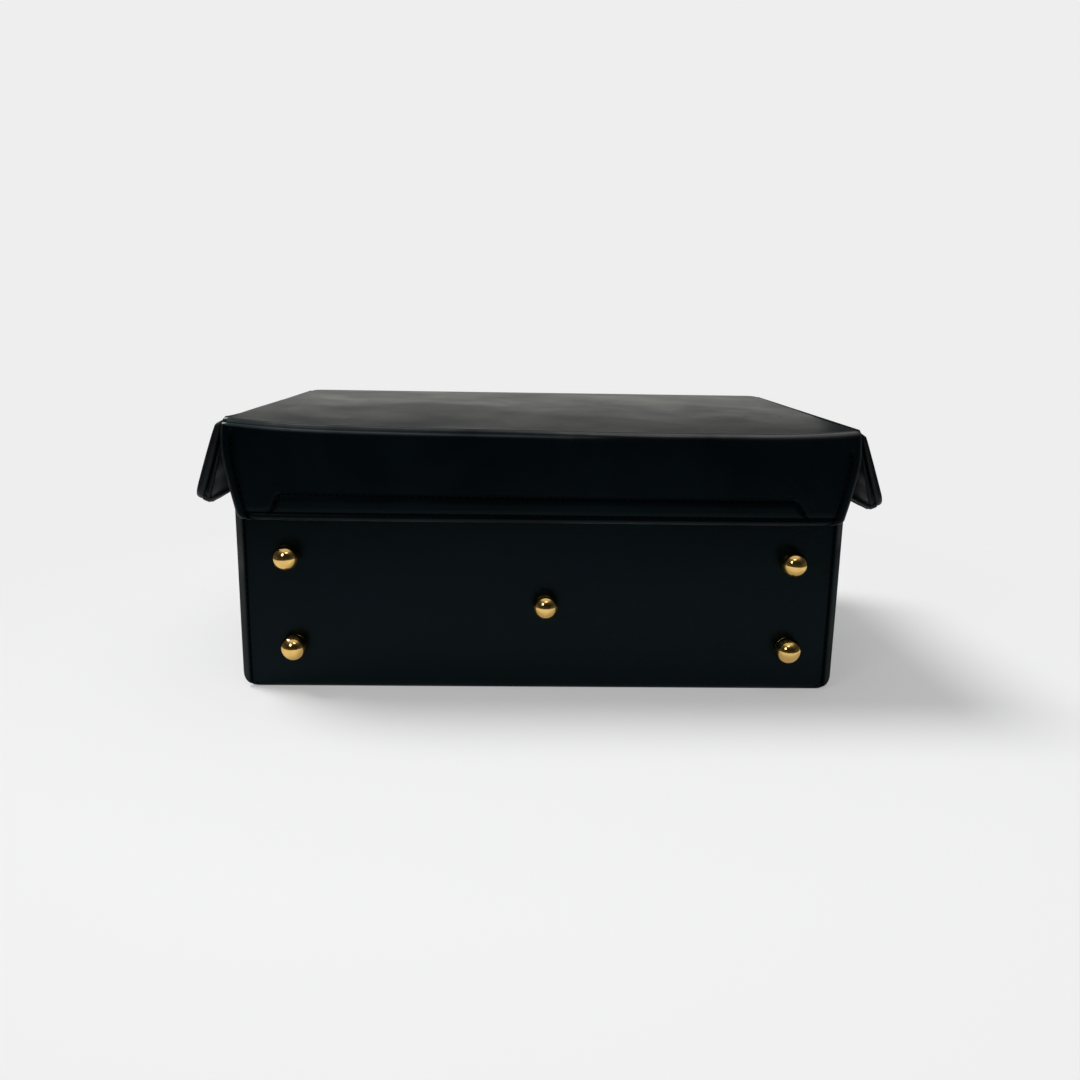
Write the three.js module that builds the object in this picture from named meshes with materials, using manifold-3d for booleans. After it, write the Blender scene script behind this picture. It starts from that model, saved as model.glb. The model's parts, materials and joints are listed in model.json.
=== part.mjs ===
// A lidded leather box case, lying with its hinged lid up and its foot panel towards -Y.
// Millimetres, +X to the right, +Y away from the foot panel, +Z up. The origin is at the
// centre of the underside of the whole object. A stiff body of covered board carries five
// ball feet and a handle. The lid has a turned-down front flap, held by magnets, and a
// sprung leather wing along each side.
import * as THREE from 'three';
import { mergeVertices } from 'three/addons/utils/BufferGeometryUtils.js';
import Module from 'manifold-3d';

const wasm = await Module();
wasm.setup();

// ---------------------------------------------------------------- driving dimensions

const BODY_WIDTH = 300; // outside of the side walls
const BODY_DEPTH = 204; // foot panel to back panel, outside
const HEIGHT = 136; // underside to the top of the lid
const CORNER_RADIUS = 7; // lower corners of the foot panel and of the band behind it

const LEATHER = 1.4; // cover leather
const BOARD = 2.4; // stiffening board in the walls and the lid
const LINING = 0.8;
const GAP = 0.3; // room left for glue and thread between layers
const EDGE = 0.3; // eased edge of a leather panel

const LID_LEATHER_WIDTH = 306;
const LID_FRONT = -5.5; // front edge of the lid, ahead of the foot panel
const LID_REST_GAP = 0.4; // lid above the rim
const LID_CORNER = 3;
const LID_BOARD_SIDE = 2; // board inside the edges of the lid's leather
const LID_BOARD_FRONT = 4;
const LID_BOARD_BACK = 1;
const LID_LINING_INSET = 1; // inside the walls
const RIM = 0.9; // binding on top of the walls
const RIM_EDGE = 0.2;

const FLAP_DROP = 46.5; // crease to the flap's lower edge
const FLAP_TOP_WIDTH = 306;
const FLAP_BOTTOM_WIDTH = 296;
const FLAP_BULGE = 7; // how far the control point of the flap's side edge stands out
const FLAP_BOARD = 1.2;
const FLAP_AHEAD = 0.5; // flap ahead of the lid's front edge
const FLAP_HEAD = 0.4; // flap's upper edge below the crease
const FLAP_CORNER = 3;
const FLAP_LINING_INSET = 1;
const FLAP_BOARD_SIDE = 6; // board inside the upper corners of the flap
const FLAP_BOARD_HEAD = 3; // board below the crease
const FLAP_BOARD_FOOT = 1; // board above the band

const BAND_BOTTOM_WIDTH = 264; // stitched stiffener along the flap's lower edge
const BAND_TOP_WIDTH = 252;
const BAND_HEIGHT = 10;
const BAND_RISE = 4; // above the flap's lower edge

const MAGNET_RADIUS = 4;
const MAGNET_SPACING = 190;
const KEEPER_WIDTH = 22;
const KEEPER_HEIGHT = 12;
const KEEPER = 1.2;
const POCKET_CORNER = 1;

const WING_DROP = 38.5; // crease to the wing's lower edge, along the wing
const WING_SPLAY = 22; // degrees from hanging straight down
const WING_CREASE_X = 153.5;
const WING_BOARD = 1.4;
const WING_INNER = 2; // second, inner layer of the wing
const WING_INNER_START = 12; // below the crease, so that it clears the side wall
const TAB = 1.2; // corner tab tucked behind the flap
const TAB_REACH = 16;
const TAB_HEAD = 9; // tab's upper edge below the crease
const WING_FRONT = -0.2;
const WING_BACK_SETBACK = 3; // wing's rear end ahead of the back panel
const WING_HEAD = 1; // leather's upper edge below the crease
const WING_EDGE = 1; // board and tab inside the leather's edges, and its corner radius
const WING_BOARD_HEAD = 4;
const WING_INNER_SHORT = 0.6; // inner layer's lower edge above the outer's
const WING_INNER_BACK = 2;

const HINGE_STRIP = 1.2;
const HINGE_LEAF_DROP = 18; // below the rim
const HINGE_INSET = 1; // inside each side wall
const HINGE_LINE = 0.2; // each leaf off the rim's and the lid's edge
const HINGE_HEAD = 0.1; // upper leaf below the top of the lid

// The five feet, set by hand and so not quite on a grid: [x, z] of each.
const FOOT_PLACES = [
  [-125.6, 68.7],
  [125.1, 67.7],
  [2, 44.9],
  [-123.6, 22.5],
  [125.2, 22.7],
];
const BALL_RADIUS = 6.8;
const BALL_STAND_OFF = 4.6; // centre of the ball ahead of the panel
const SHANK_RADIUS = 1.5;
const CLINCH_RADIUS = 2.4;
const CLINCH = 0.5;
const WASHER_RADIUS = 5;
const WASHER = 0.6;
const HOLE_CLEARANCE = 0.35;

const HANDLE_SPAN = 104; // pin to pin
const HANDLE_DROP = 60; // pin to the middle of the grip
const HANDLE_PIN_Z = 98;
const HANDLE_STAND_OFF = 8; // pin ahead of the back panel
const GRIP_RADIUS = 5.5;
const PIN_RADIUS = 1.6;
const EYE_RADIUS = 4;
const EYE_WIDTH = 5;
const EAR = 1.8;
const LUG_WIDTH = 26;
const LUG_HEIGHT = 15;
const LUG_PLATE = 1.6;
const SOCKET_TOP = 6; // below the pin
const SOCKET_LENGTH = 8;
const SOCKET_CHAMFER = 1;
const STEM_DEPTH = 4;
const STEM_INTO_SOCKET = 2;
const LUG_CORNER = 4;
const EAR_RADIUS = 3.6;
const EAR_FOOT = 4; // half height of an ear where it meets the plate
const PIN_HEADS = 1.6; // pin beyond the ears, both ends together
const GRIP_CORNER = 26; // reach of the bend at each end of the grip
const RIVET_OFFSET = 9;
const RIVET_HEAD_RADIUS = 3;
const RIVET_CROWN_RADIUS = 2.1;
const RIVET_HEAD = 0.9;
const RIVET_CROWN = 1.1;

// Fineness of the curves.
const BALL_STEPS = 8;
const OUTLINE_STEPS = 5;
const CORNER_STEPS = 3;
const ROUND_SIDES = 14;
const SMALL_ROUND_SIDES = 12;
const GRIP_STEPS = 20;
const MERGE_DISTANCE = 1e-4;

// ---------------------------------------------------------------- derived places

const HALF_WIDTH = BODY_WIDTH / 2;
const WALL_TOP = HEIGHT - 2 * LEATHER - BOARD - 2 * GAP - LID_REST_GAP - RIM;
const RIM_TOP = WALL_TOP + GAP + RIM;
const LID_BOTTOM = RIM_TOP + LID_REST_GAP;
const BOARD_FACE = LEATHER + GAP; // from the outside of a wall to its board
const SIDE_LINING_FACE = BOARD_FACE + BOARD + GAP;
const WALL = SIDE_LINING_FACE + LINING;
const FRONT_LINING_FACE = BOARD_FACE + BOARD + WASHER + CLINCH + 3 * GAP;
const FRONT_WALL = FRONT_LINING_FACE + LINING;
const HINGE_FACE = BODY_DEPTH + GAP;
const CREASE_Z = HEIGHT - LEATHER - GAP;
const FLAP_FACE = LID_FRONT - FLAP_AHEAD;
const KEEPER_Z = CREASE_Z - FLAP_DROP + BAND_RISE + BAND_HEIGHT / 2;
const PIN_Y = BODY_DEPTH + HANDLE_STAND_OFF;
const RIVET_PLACES = [-1, 1].flatMap((side) =>
  [-1, 1].map((end) => [(side * HANDLE_SPAN) / 2 + end * RIVET_OFFSET, HANDLE_PIN_Z]),
);
const FRONT_MOST = -BALL_STAND_OFF - BALL_RADIUS;
const BACK_MOST = PIN_Y + GRIP_RADIUS;

// ---------------------------------------------------------------- finishes

const finish = (color, roughness, metalness) => ({ color, roughness, metalness });
const CALF = finish(0x0b0e11, 0.38, 0);
const SIDE_CALF = finish(0x101316, 0.45, 0);
const BOARD_GREY = finish(0x8a7f70, 0.9, 0);
const SUEDE = finish(0x26221f, 0.95, 0);
const GOLD = finish(0xd9a441, 0.18, 1);
const STEEL = finish(0x9a9da0, 0.35, 1);

const part = new THREE.Group();
part.position.y = -(FRONT_MOST + BACK_MOST) / 2;

/** Adds a named solid of the given finish to a group and returns it. */
function add(group, name, geometry, look) {
  const mesh = new THREE.Mesh(geometry, new THREE.MeshStandardMaterial(look));
  mesh.name = name;
  group.add(mesh);
  return mesh;
}

// ---------------------------------------------------------------- shared shapes

/** A rectangle cut square. */
function rectangle(x0, y0, x1, y1) {
  const shape = new THREE.Shape();
  shape.moveTo(x0, y0);
  shape.lineTo(x1, y0);
  shape.lineTo(x1, y1);
  shape.lineTo(x0, y1);
  return shape;
}

/** A rectangle with its four corners rounded. */
function roundedRectangle(x0, y0, x1, y1, radius) {
  const shape = new THREE.Shape();
  shape.moveTo(x0 + radius, y0);
  shape.lineTo(x1 - radius, y0);
  shape.quadraticCurveTo(x1, y0, x1, y0 + radius);
  shape.lineTo(x1, y1 - radius);
  shape.quadraticCurveTo(x1, y1, x1 - radius, y1);
  shape.lineTo(x0 + radius, y1);
  shape.quadraticCurveTo(x0, y1, x0, y1 - radius);
  shape.lineTo(x0, y0 + radius);
  shape.quadraticCurveTo(x0, y0, x0 + radius, y0);
  return shape;
}

/** The outline of the foot panel: square above, its two lower corners rounded. */
function tubOutline(inset, top) {
  const radius = CORNER_RADIUS - inset;
  const half = HALF_WIDTH - inset;
  const shape = new THREE.Shape();
  shape.moveTo(half, top);
  shape.lineTo(-half, top);
  shape.lineTo(-half, inset + radius);
  shape.absarc(-half + radius, inset + radius, radius, Math.PI, 1.5 * Math.PI, false);
  shape.lineTo(half - radius, inset);
  shape.absarc(half - radius, inset + radius, radius, -Math.PI / 2, 0, false);
  shape.closePath();
  return shape;
}

/** Cuts round holes through an outline at each [x, z] place. */
function pierce(shape, places, radius) {
  for (const [x, z] of places) {
    const hole = new THREE.Path();
    hole.absarc(x, z, radius, 0, 2 * Math.PI, true);
    shape.holes.push(hole);
  }
  return shape;
}

/** A sheet of the given thickness, with its edges eased all round. */
function sheet(shape, thickness, ease = 0) {
  return new THREE.ExtrudeGeometry(shape, {
    depth: thickness - 2 * ease,
    bevelEnabled: ease > 0,
    bevelThickness: ease,
    bevelSize: ease,
    bevelOffset: -ease,
    bevelSegments: 1,
    curveSegments: OUTLINE_STEPS,
  }).translate(0, 0, ease);
}

/** A sheet drawn in X and Z that stands with its front face at y. */
function standing(shape, thickness, y, ease = 0) {
  return sheet(shape, thickness, ease).rotateX(Math.PI / 2).translate(0, y + thickness, 0);
}

/** A sheet drawn in Y and Z, from x towards +X. */
function sideways(shape, thickness, x, ease = 0) {
  return sheet(shape, thickness, ease)
    .rotateX(Math.PI / 2)
    .rotateZ(Math.PI / 2)
    .translate(x, 0, 0);
}

/** A level sheet with its underside at z. */
function level(shape, thickness, z, ease = 0) {
  return sheet(shape, thickness, ease).translate(0, 0, z);
}

/** The same for the left or right side: a sheet whose outer face is at x = side * distance. */
function atSide(shape, thickness, distance, side, ease = 0) {
  return sideways(shape, thickness, side < 0 ? -distance : distance - thickness, ease);
}

/** A turned piece about the Y axis: profile points are [radius, distance along +Y]. */
function turned(profile, segments) {
  const points = profile.map(([radius, along]) => new THREE.Vector2(radius, along));
  return new THREE.LatheGeometry(points, segments);
}

/** A plain ring about the Y axis, from y to y + thickness. */
function ring(outer, inner, y, thickness, segments) {
  const profile = [
    [inner, y],
    [outer, y],
    [outer, y + thickness],
    [inner, y + thickness],
    [inner, y],
  ];
  return turned(profile, segments);
}

/** A closed geometry as a solid for joining and cutting. */
function solid(geometry) {
  const bare = geometry.clone();
  bare.deleteAttribute('normal');
  bare.deleteAttribute('uv');
  const merged = mergeVertices(bare, MERGE_DISTANCE);
  return new wasm.Manifold(
    new wasm.Mesh({
      numProp: 3,
      vertProperties: merged.attributes.position.array,
      triVerts: new Uint32Array(merged.index.array),
    }),
  );
}

/** A joined or cut solid as a geometry again. */
function geometryOf(body) {
  const mesh = body.getMesh();
  const geometry = new THREE.BufferGeometry();
  geometry.setAttribute('position', new THREE.BufferAttribute(mesh.vertProperties, 3));
  geometry.setIndex(new THREE.BufferAttribute(mesh.triVerts, 1));
  return geometry;
}

const box = (x, y, z) => new THREE.BoxGeometry(x, y, z);
const rod = (radius, length) => new THREE.CylinderGeometry(radius, radius, length, ROUND_SIDES);

// ---------------------------------------------------------------- body

/** The leather band that makes the left wall, the underside and the right wall. */
function bodyBand() {
  const shape = tubOutline(0, WALL_TOP);
  const inner = tubOutline(LEATHER, WALL_TOP).getPoints(CORNER_STEPS).reverse();
  const outer = shape.getPoints(CORNER_STEPS);
  const outside = [...outer.slice(1), outer[0]];
  const open = new THREE.Shape([...outside, ...inner.slice(-1), ...inner.slice(0, -1)]);
  return standing(open, BODY_DEPTH - 2 * (LEATHER + GAP), LEATHER + GAP);
}

/** Leather covers: the band and the two end panels. */
function addBodyLeather() {
  add(part, 'body_band', bodyBand(), SIDE_CALF);
  const footHoles = SHANK_RADIUS + HOLE_CLEARANCE;
  const front = pierce(tubOutline(0, WALL_TOP), FOOT_PLACES, footHoles);
  add(part, 'front_panel', standing(front, LEATHER, 0, EDGE), CALF);
  const back = pierce(tubOutline(0, WALL_TOP), RIVET_PLACES, footHoles);
  add(part, 'back_panel', standing(back, LEATHER, BODY_DEPTH - LEATHER, EDGE), CALF);
}

/** A wall board drawn in X and Z, between the side boards. */
function endBoardOutline() {
  const half = HALF_WIDTH - BOARD_FACE - BOARD - GAP;
  return rectangle(-half, BOARD_FACE + BOARD + GAP, half, WALL_TOP);
}

/** The pockets in the front board that hold the keepers of the magnets. */
function cutKeeperPockets(shape) {
  for (const side of [-1, 1]) {
    const x = (side * MAGNET_SPACING) / 2;
    const halfWidth = KEEPER_WIDTH / 2 + GAP;
    const halfHeight = KEEPER_HEIGHT / 2 + GAP;
    const z0 = KEEPER_Z - halfHeight;
    const z1 = KEEPER_Z + halfHeight;
    shape.holes.push(roundedRectangle(x - halfWidth, z0, x + halfWidth, z1, POCKET_CORNER));
  }
  return shape;
}

/** The five stiffening boards. */
function addBodyBoards() {
  const holes = SHANK_RADIUS + HOLE_CLEARANCE;
  const front = cutKeeperPockets(pierce(endBoardOutline(), FOOT_PLACES, holes));
  add(part, 'front_board', standing(front, BOARD, BOARD_FACE), BOARD_GREY);
  const back = pierce(endBoardOutline(), RIVET_PLACES, holes);
  add(part, 'back_board', standing(back, BOARD, BODY_DEPTH - BOARD_FACE - BOARD), BOARD_GREY);
  const y0 = BOARD_FACE;
  const y1 = BODY_DEPTH - BOARD_FACE;
  const side = rectangle(y0, CORNER_RADIUS, y1, WALL_TOP);
  add(part, 'left_board', atSide(side, BOARD, HALF_WIDTH - BOARD_FACE, -1), BOARD_GREY);
  add(part, 'right_board', atSide(side, BOARD, HALF_WIDTH - BOARD_FACE, 1), BOARD_GREY);
  const reach = HALF_WIDTH - CORNER_RADIUS;
  const floor = rectangle(-reach, y0, reach, y1);
  add(part, 'floor_board', level(floor, BOARD, BOARD_FACE), BOARD_GREY);
}

/** The linings of the four walls and the floor. */
function addBodyLinings() {
  const floorZ = BOARD_FACE + BOARD + 2 * GAP + LINING;
  const x = HALF_WIDTH - SIDE_LINING_FACE - LINING - GAP;
  const end = rectangle(-x, floorZ, x, WALL_TOP);
  add(part, 'front_lining', standing(end, LINING, FRONT_LINING_FACE), SUEDE);
  const backFace = BODY_DEPTH - FRONT_LINING_FACE - LINING;
  add(part, 'back_lining', standing(end, LINING, backFace), SUEDE);
  const y0 = FRONT_LINING_FACE;
  const y1 = BODY_DEPTH - FRONT_LINING_FACE;
  const side = rectangle(y0, floorZ, y1, WALL_TOP);
  add(part, 'left_lining', atSide(side, LINING, HALF_WIDTH - SIDE_LINING_FACE, -1), SUEDE);
  add(part, 'right_lining', atSide(side, LINING, HALF_WIDTH - SIDE_LINING_FACE, 1), SUEDE);
  const floor = rectangle(-x, y0 + GAP, x, y1 - GAP);
  add(part, 'floor_lining', level(floor, LINING, floorZ - LINING - GAP), SUEDE);
}

/** The leather binding on top of the four walls. */
function addRim() {
  const z = WALL_TOP + GAP;
  const long = rectangle(-HALF_WIDTH, 0, HALF_WIDTH, FRONT_WALL);
  add(part, 'rim_front', level(long, RIM, z, RIM_EDGE), CALF);
  const back = add(part, 'rim_back', level(long, RIM, z, RIM_EDGE), CALF);
  back.position.y = BODY_DEPTH - FRONT_WALL;
  const y0 = FRONT_WALL + GAP;
  const y1 = BODY_DEPTH - FRONT_WALL - GAP;
  const left = rectangle(-HALF_WIDTH, y0, -HALF_WIDTH + WALL, y1);
  add(part, 'rim_left', level(left, RIM, z, RIM_EDGE), CALF);
  const right = rectangle(HALF_WIDTH - WALL, y0, HALF_WIDTH, y1);
  add(part, 'rim_right', level(right, RIM, z, RIM_EDGE), CALF);
}

/** A ball foot: a ball with a flat seat outside, a shank through the wall, clinched inside. */
function footGeometry() {
  const ball = [];
  const seatAngle = Math.acos((BALL_STAND_OFF - GAP) / BALL_RADIUS);
  for (let i = 0; i <= BALL_STEPS; i += 1) {
    const angle = Math.PI - ((Math.PI - seatAngle) * i) / BALL_STEPS;
    const along = -BALL_STAND_OFF + BALL_RADIUS * Math.cos(angle);
    ball.push([BALL_RADIUS * Math.sin(angle) * (i > 0 ? 1 : 0), along]);
  }
  const clinchFace = BOARD_FACE + BOARD + WASHER + 2 * GAP;
  return turned(
    [
      ...ball,
      [SHANK_RADIUS, -GAP],
      [SHANK_RADIUS, clinchFace],
      [CLINCH_RADIUS, clinchFace],
      [CLINCH_RADIUS, clinchFace + CLINCH],
      [0, clinchFace + CLINCH],
    ],
    ROUND_SIDES,
  );
}

/** The five feet, with their washers behind the front board. */
function addFeet() {
  const washerFace = BOARD_FACE + BOARD + GAP;
  const bore = SHANK_RADIUS + HOLE_CLEARANCE;
  FOOT_PLACES.forEach(([x, z], i) => {
    add(part, `foot_${i + 1}`, footGeometry(), GOLD).position.set(x, 0, z);
    const washer = ring(WASHER_RADIUS, bore, washerFace, WASHER, SMALL_ROUND_SIDES);
    add(part, `foot_washer_${i + 1}`, washer, STEEL).position.set(x, 0, z);
  });
}

/** Steel keepers in the front board, which the flap's magnets pull on. */
function addKeepers() {
  for (const [side, name] of [[-1, 'keeper_left'], [1, 'keeper_right']]) {
    const keeper = add(part, name, box(KEEPER_WIDTH, KEEPER, KEEPER_HEIGHT), STEEL);
    keeper.position.set((side * MAGNET_SPACING) / 2, BOARD_FACE + BOARD / 2, KEEPER_Z);
  }
}

// ---------------------------------------------------------------- lid

/** The flat lid: cover leather, board and lining. */
function addLid() {
  const half = LID_LEATHER_WIDTH / 2;
  const cover = roundedRectangle(-half, LID_FRONT, half, BODY_DEPTH, LID_CORNER);
  add(part, 'lid_leather', level(cover, LEATHER, HEIGHT - LEATHER, EDGE), CALF);
  const boardHalf = half - LID_BOARD_SIDE;
  const boardFront = LID_FRONT + LID_BOARD_FRONT;
  const board = rectangle(-boardHalf, boardFront, boardHalf, BODY_DEPTH - LID_BOARD_BACK);
  add(part, 'lid_board', level(board, BOARD, HEIGHT - LEATHER - GAP - BOARD), BOARD_GREY);
  const inside = HALF_WIDTH - WALL - LID_LINING_INSET;
  const y0 = FRONT_WALL + LID_LINING_INSET;
  const lining = rectangle(-inside, y0, inside, BODY_DEPTH - y0);
  add(part, 'lid_lining', level(lining, LINING, LID_BOTTOM + GAP), SUEDE);
}

/** The leather hinge along the back: one leaf on the wall and one on the lid. */
function addHinge() {
  const half = HALF_WIDTH - HINGE_INSET;
  const lower = rectangle(-half, RIM_TOP - HINGE_LEAF_DROP, half, RIM_TOP - HINGE_LINE);
  add(part, 'hinge_lower_leaf', standing(lower, HINGE_STRIP, HINGE_FACE), CALF);
  const upper = rectangle(-half, LID_BOTTOM + HINGE_LINE, half, HEIGHT - HINGE_HEAD);
  add(part, 'hinge_upper_leaf', standing(upper, HINGE_STRIP, HINGE_FACE), CALF);
}

/** The flap's outline: a level crease above, bowed sides and small round lower corners. */
function flapOutline(inset) {
  const top = CREASE_Z - FLAP_HEAD;
  const bottom = CREASE_Z - FLAP_DROP + inset;
  const topHalf = FLAP_TOP_WIDTH / 2 - inset;
  const bottomHalf = FLAP_BOTTOM_WIDTH / 2 - inset;
  const radius = FLAP_CORNER;
  const bow = (topHalf + bottomHalf) / 2 + FLAP_BULGE;
  const middle = (top + bottom) / 2;
  const shape = new THREE.Shape();
  shape.moveTo(-topHalf, top);
  shape.quadraticCurveTo(-bow, middle, -bottomHalf, bottom + radius);
  shape.quadraticCurveTo(-bottomHalf, bottom, -bottomHalf + radius, bottom);
  shape.lineTo(bottomHalf - radius, bottom);
  shape.quadraticCurveTo(bottomHalf, bottom, bottomHalf, bottom + radius);
  shape.quadraticCurveTo(bow, middle, topHalf, top);
  shape.closePath();
  return shape;
}

/** The outline of the stitched stiffener, wider at its foot than at its head. */
function bandOutline() {
  const foot = CREASE_Z - FLAP_DROP + BAND_RISE;
  const head = foot + BAND_HEIGHT;
  const shape = new THREE.Shape();
  shape.moveTo(-BAND_BOTTOM_WIDTH / 2, foot);
  shape.lineTo(BAND_BOTTOM_WIDTH / 2, foot);
  shape.lineTo(BAND_TOP_WIDTH / 2, head);
  shape.lineTo(-BAND_TOP_WIDTH / 2, head);
  shape.closePath();
  return shape;
}

/** The front flap: leather, board, magnet band, two magnets and lining. */
function addFlap() {
  add(part, 'flap_leather', standing(flapOutline(0), LEATHER, FLAP_FACE, EDGE), CALF);
  const boardY = FLAP_FACE + LEATHER + GAP;
  const boardFoot = CREASE_Z - FLAP_DROP + BAND_RISE + BAND_HEIGHT + FLAP_BOARD_FOOT;
  const half = FLAP_TOP_WIDTH / 2 - FLAP_BOARD_SIDE;
  const board = rectangle(-half, boardFoot, half, CREASE_Z - FLAP_BOARD_HEAD);
  add(part, 'flap_board', standing(board, FLAP_BOARD, boardY), BOARD_GREY);
  const magnetPlaces = [-1, 1].map((side) => [(side * MAGNET_SPACING) / 2, KEEPER_Z]);
  const band = pierce(bandOutline(), magnetPlaces, MAGNET_RADIUS + GAP);
  add(part, 'flap_band', standing(band, FLAP_BOARD, boardY), BOARD_GREY);
  magnetPlaces.forEach(([x, z], i) => {
    const magnet = rod(MAGNET_RADIUS, FLAP_BOARD).translate(0, FLAP_BOARD / 2, 0);
    const name = ['magnet_left', 'magnet_right'][i];
    add(part, name, magnet, STEEL).position.set(x, boardY, z);
  });
  const liningY = boardY + FLAP_BOARD + GAP;
  add(part, 'flap_lining', standing(flapOutline(FLAP_LINING_INSET), LINING, liningY), SUEDE);
}

/** One wing: a folded outer layer over board, an inner layer, and the corner tab. */
function addWing(side, name) {
  const wing = new THREE.Group();
  wing.position.set(side * WING_CREASE_X, 0, CREASE_Z);
  wing.rotation.y = THREE.MathUtils.degToRad(-side * WING_SPLAY);
  part.add(wing);
  const y0 = WING_FRONT;
  const y1 = BODY_DEPTH - WING_BACK_SETBACK;
  const foot = -WING_DROP + WING_EDGE;
  const outer = roundedRectangle(y0, -WING_DROP, y1, -WING_HEAD, WING_EDGE);
  add(wing, `${name}_leather`, atSide(outer, LEATHER, 0, side, EDGE), SIDE_CALF);
  const boardIn = LEATHER + GAP;
  const board = rectangle(y0 + WING_EDGE, foot, y1 - WING_EDGE, -WING_BOARD_HEAD);
  add(wing, `${name}_board`, atSide(board, WING_BOARD, -boardIn, side), BOARD_GREY);
  const innerIn = boardIn + WING_BOARD + 2 * GAP;
  const innerFoot = -WING_DROP + WING_INNER_SHORT;
  const innerBack = y1 - WING_INNER_BACK;
  const inner = roundedRectangle(y0, innerFoot, innerBack, -WING_INNER_START, WING_EDGE);
  add(wing, `${name}_inner`, atSide(inner, WING_INNER, -innerIn, side, EDGE), SIDE_CALF);
  const tab = new THREE.Shape();
  tab.moveTo(-side * boardIn, -TAB_HEAD);
  tab.lineTo(-side * boardIn, foot);
  tab.lineTo(-side * TAB_REACH, foot);
  tab.lineTo(-side * TAB_REACH, -TAB_HEAD);
  tab.closePath();
  add(wing, `${name}_tab`, standing(tab, TAB, y0 - GAP - TAB), SIDE_CALF);
}

// ---------------------------------------------------------------- handle

/** A lug: base plate with two ears, bored for the pin and for two rivets. */
function lugGeometry() {
  const plateY = BODY_DEPTH + GAP - PIN_Y;
  const plate = roundedRectangle(
    -LUG_WIDTH / 2, -LUG_HEIGHT / 2, LUG_WIDTH / 2, LUG_HEIGHT / 2, LUG_CORNER,
  );
  const rivetHole = SHANK_RADIUS + HOLE_CLEARANCE;
  pierce(plate, [[-RIVET_OFFSET, 0], [RIVET_OFFSET, 0]], rivetHole);
  let lug = solid(standing(plate, LUG_PLATE, plateY));
  for (const end of [-1, 1]) {
    const ear = new THREE.Shape();
    ear.moveTo(plateY + LUG_PLATE / 2, -EAR_FOOT);
    ear.lineTo(0, -EAR_RADIUS);
    ear.absarc(0, 0, EAR_RADIUS, -Math.PI / 2, Math.PI / 2, false);
    ear.lineTo(plateY + LUG_PLATE / 2, EAR_FOOT);
    ear.closePath();
    const x = end * (EYE_WIDTH / 2 + GAP + EAR / 2) - EAR / 2;
    lug = lug.add(solid(sideways(ear, EAR, x)));
  }
  const bore = rod(PIN_RADIUS + HOLE_CLEARANCE, LUG_WIDTH).rotateZ(Math.PI / 2);
  return geometryOf(lug.subtract(solid(bore)));
}

/** The end of the handle: an eye on the pin and a socket for the leather grip. */
function eyeGeometry() {
  const eye = solid(rod(EYE_RADIUS, EYE_WIDTH).rotateZ(Math.PI / 2));
  const stemLength = SOCKET_TOP + STEM_INTO_SOCKET;
  const stem = solid(box(EYE_WIDTH, STEM_DEPTH, stemLength).translate(0, 0, -stemLength / 2));
  const profile = [
    [0, 0],
    [GRIP_RADIUS - SOCKET_CHAMFER, 0],
    [GRIP_RADIUS, SOCKET_CHAMFER],
    [GRIP_RADIUS, SOCKET_LENGTH],
    [0, SOCKET_LENGTH],
  ];
  const socket = turned(profile, SMALL_ROUND_SIDES)
    .rotateX(-Math.PI / 2)
    .translate(0, 0, -SOCKET_TOP);
  const bore = rod(PIN_RADIUS + HOLE_CLEARANCE, LUG_WIDTH).rotateZ(Math.PI / 2);
  return geometryOf(eye.add(stem).add(solid(socket)).subtract(solid(bore)));
}

/** The rolled leather grip: straight out of each socket, then one smooth bend. */
function gripGeometry() {
  const half = HANDLE_SPAN / 2;
  const start = -SOCKET_TOP - SOCKET_LENGTH - GAP;
  const path = new THREE.CurvePath();
  const left = new THREE.Vector3(-half, 0, start);
  const leftKnee = new THREE.Vector3(-half + GRIP_CORNER, 0, -HANDLE_DROP);
  const rightKnee = new THREE.Vector3(half - GRIP_CORNER, 0, -HANDLE_DROP);
  const right = new THREE.Vector3(half, 0, start);
  const leftControl = new THREE.Vector3(-half, 0, -HANDLE_DROP);
  const rightControl = new THREE.Vector3(half, 0, -HANDLE_DROP);
  path.add(new THREE.QuadraticBezierCurve3(left, leftControl, leftKnee));
  path.add(new THREE.LineCurve3(leftKnee, rightKnee));
  path.add(new THREE.QuadraticBezierCurve3(rightKnee, rightControl, right));
  const section = new THREE.Shape();
  section.absarc(0, 0, GRIP_RADIUS, 0, 2 * Math.PI, false);
  return new THREE.ExtrudeGeometry(section, {
    steps: GRIP_STEPS,
    curveSegments: OUTLINE_STEPS,
    bevelEnabled: false,
    extrudePath: path,
  });
}

/** A rivet through a lug, the back panel and its board. */
function rivetGeometry() {
  const head = BODY_DEPTH + GAP + LUG_PLATE + GAP;
  const clinch = BODY_DEPTH - BOARD_FACE - BOARD - GAP;
  return turned(
    [
      [0, clinch - CLINCH],
      [CLINCH_RADIUS, clinch - CLINCH],
      [CLINCH_RADIUS, clinch],
      [SHANK_RADIUS, clinch],
      [SHANK_RADIUS, head],
      [RIVET_HEAD_RADIUS, head],
      [RIVET_CROWN_RADIUS, head + RIVET_HEAD],
      [0, head + RIVET_CROWN],
    ],
    SMALL_ROUND_SIDES,
  );
}

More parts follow.
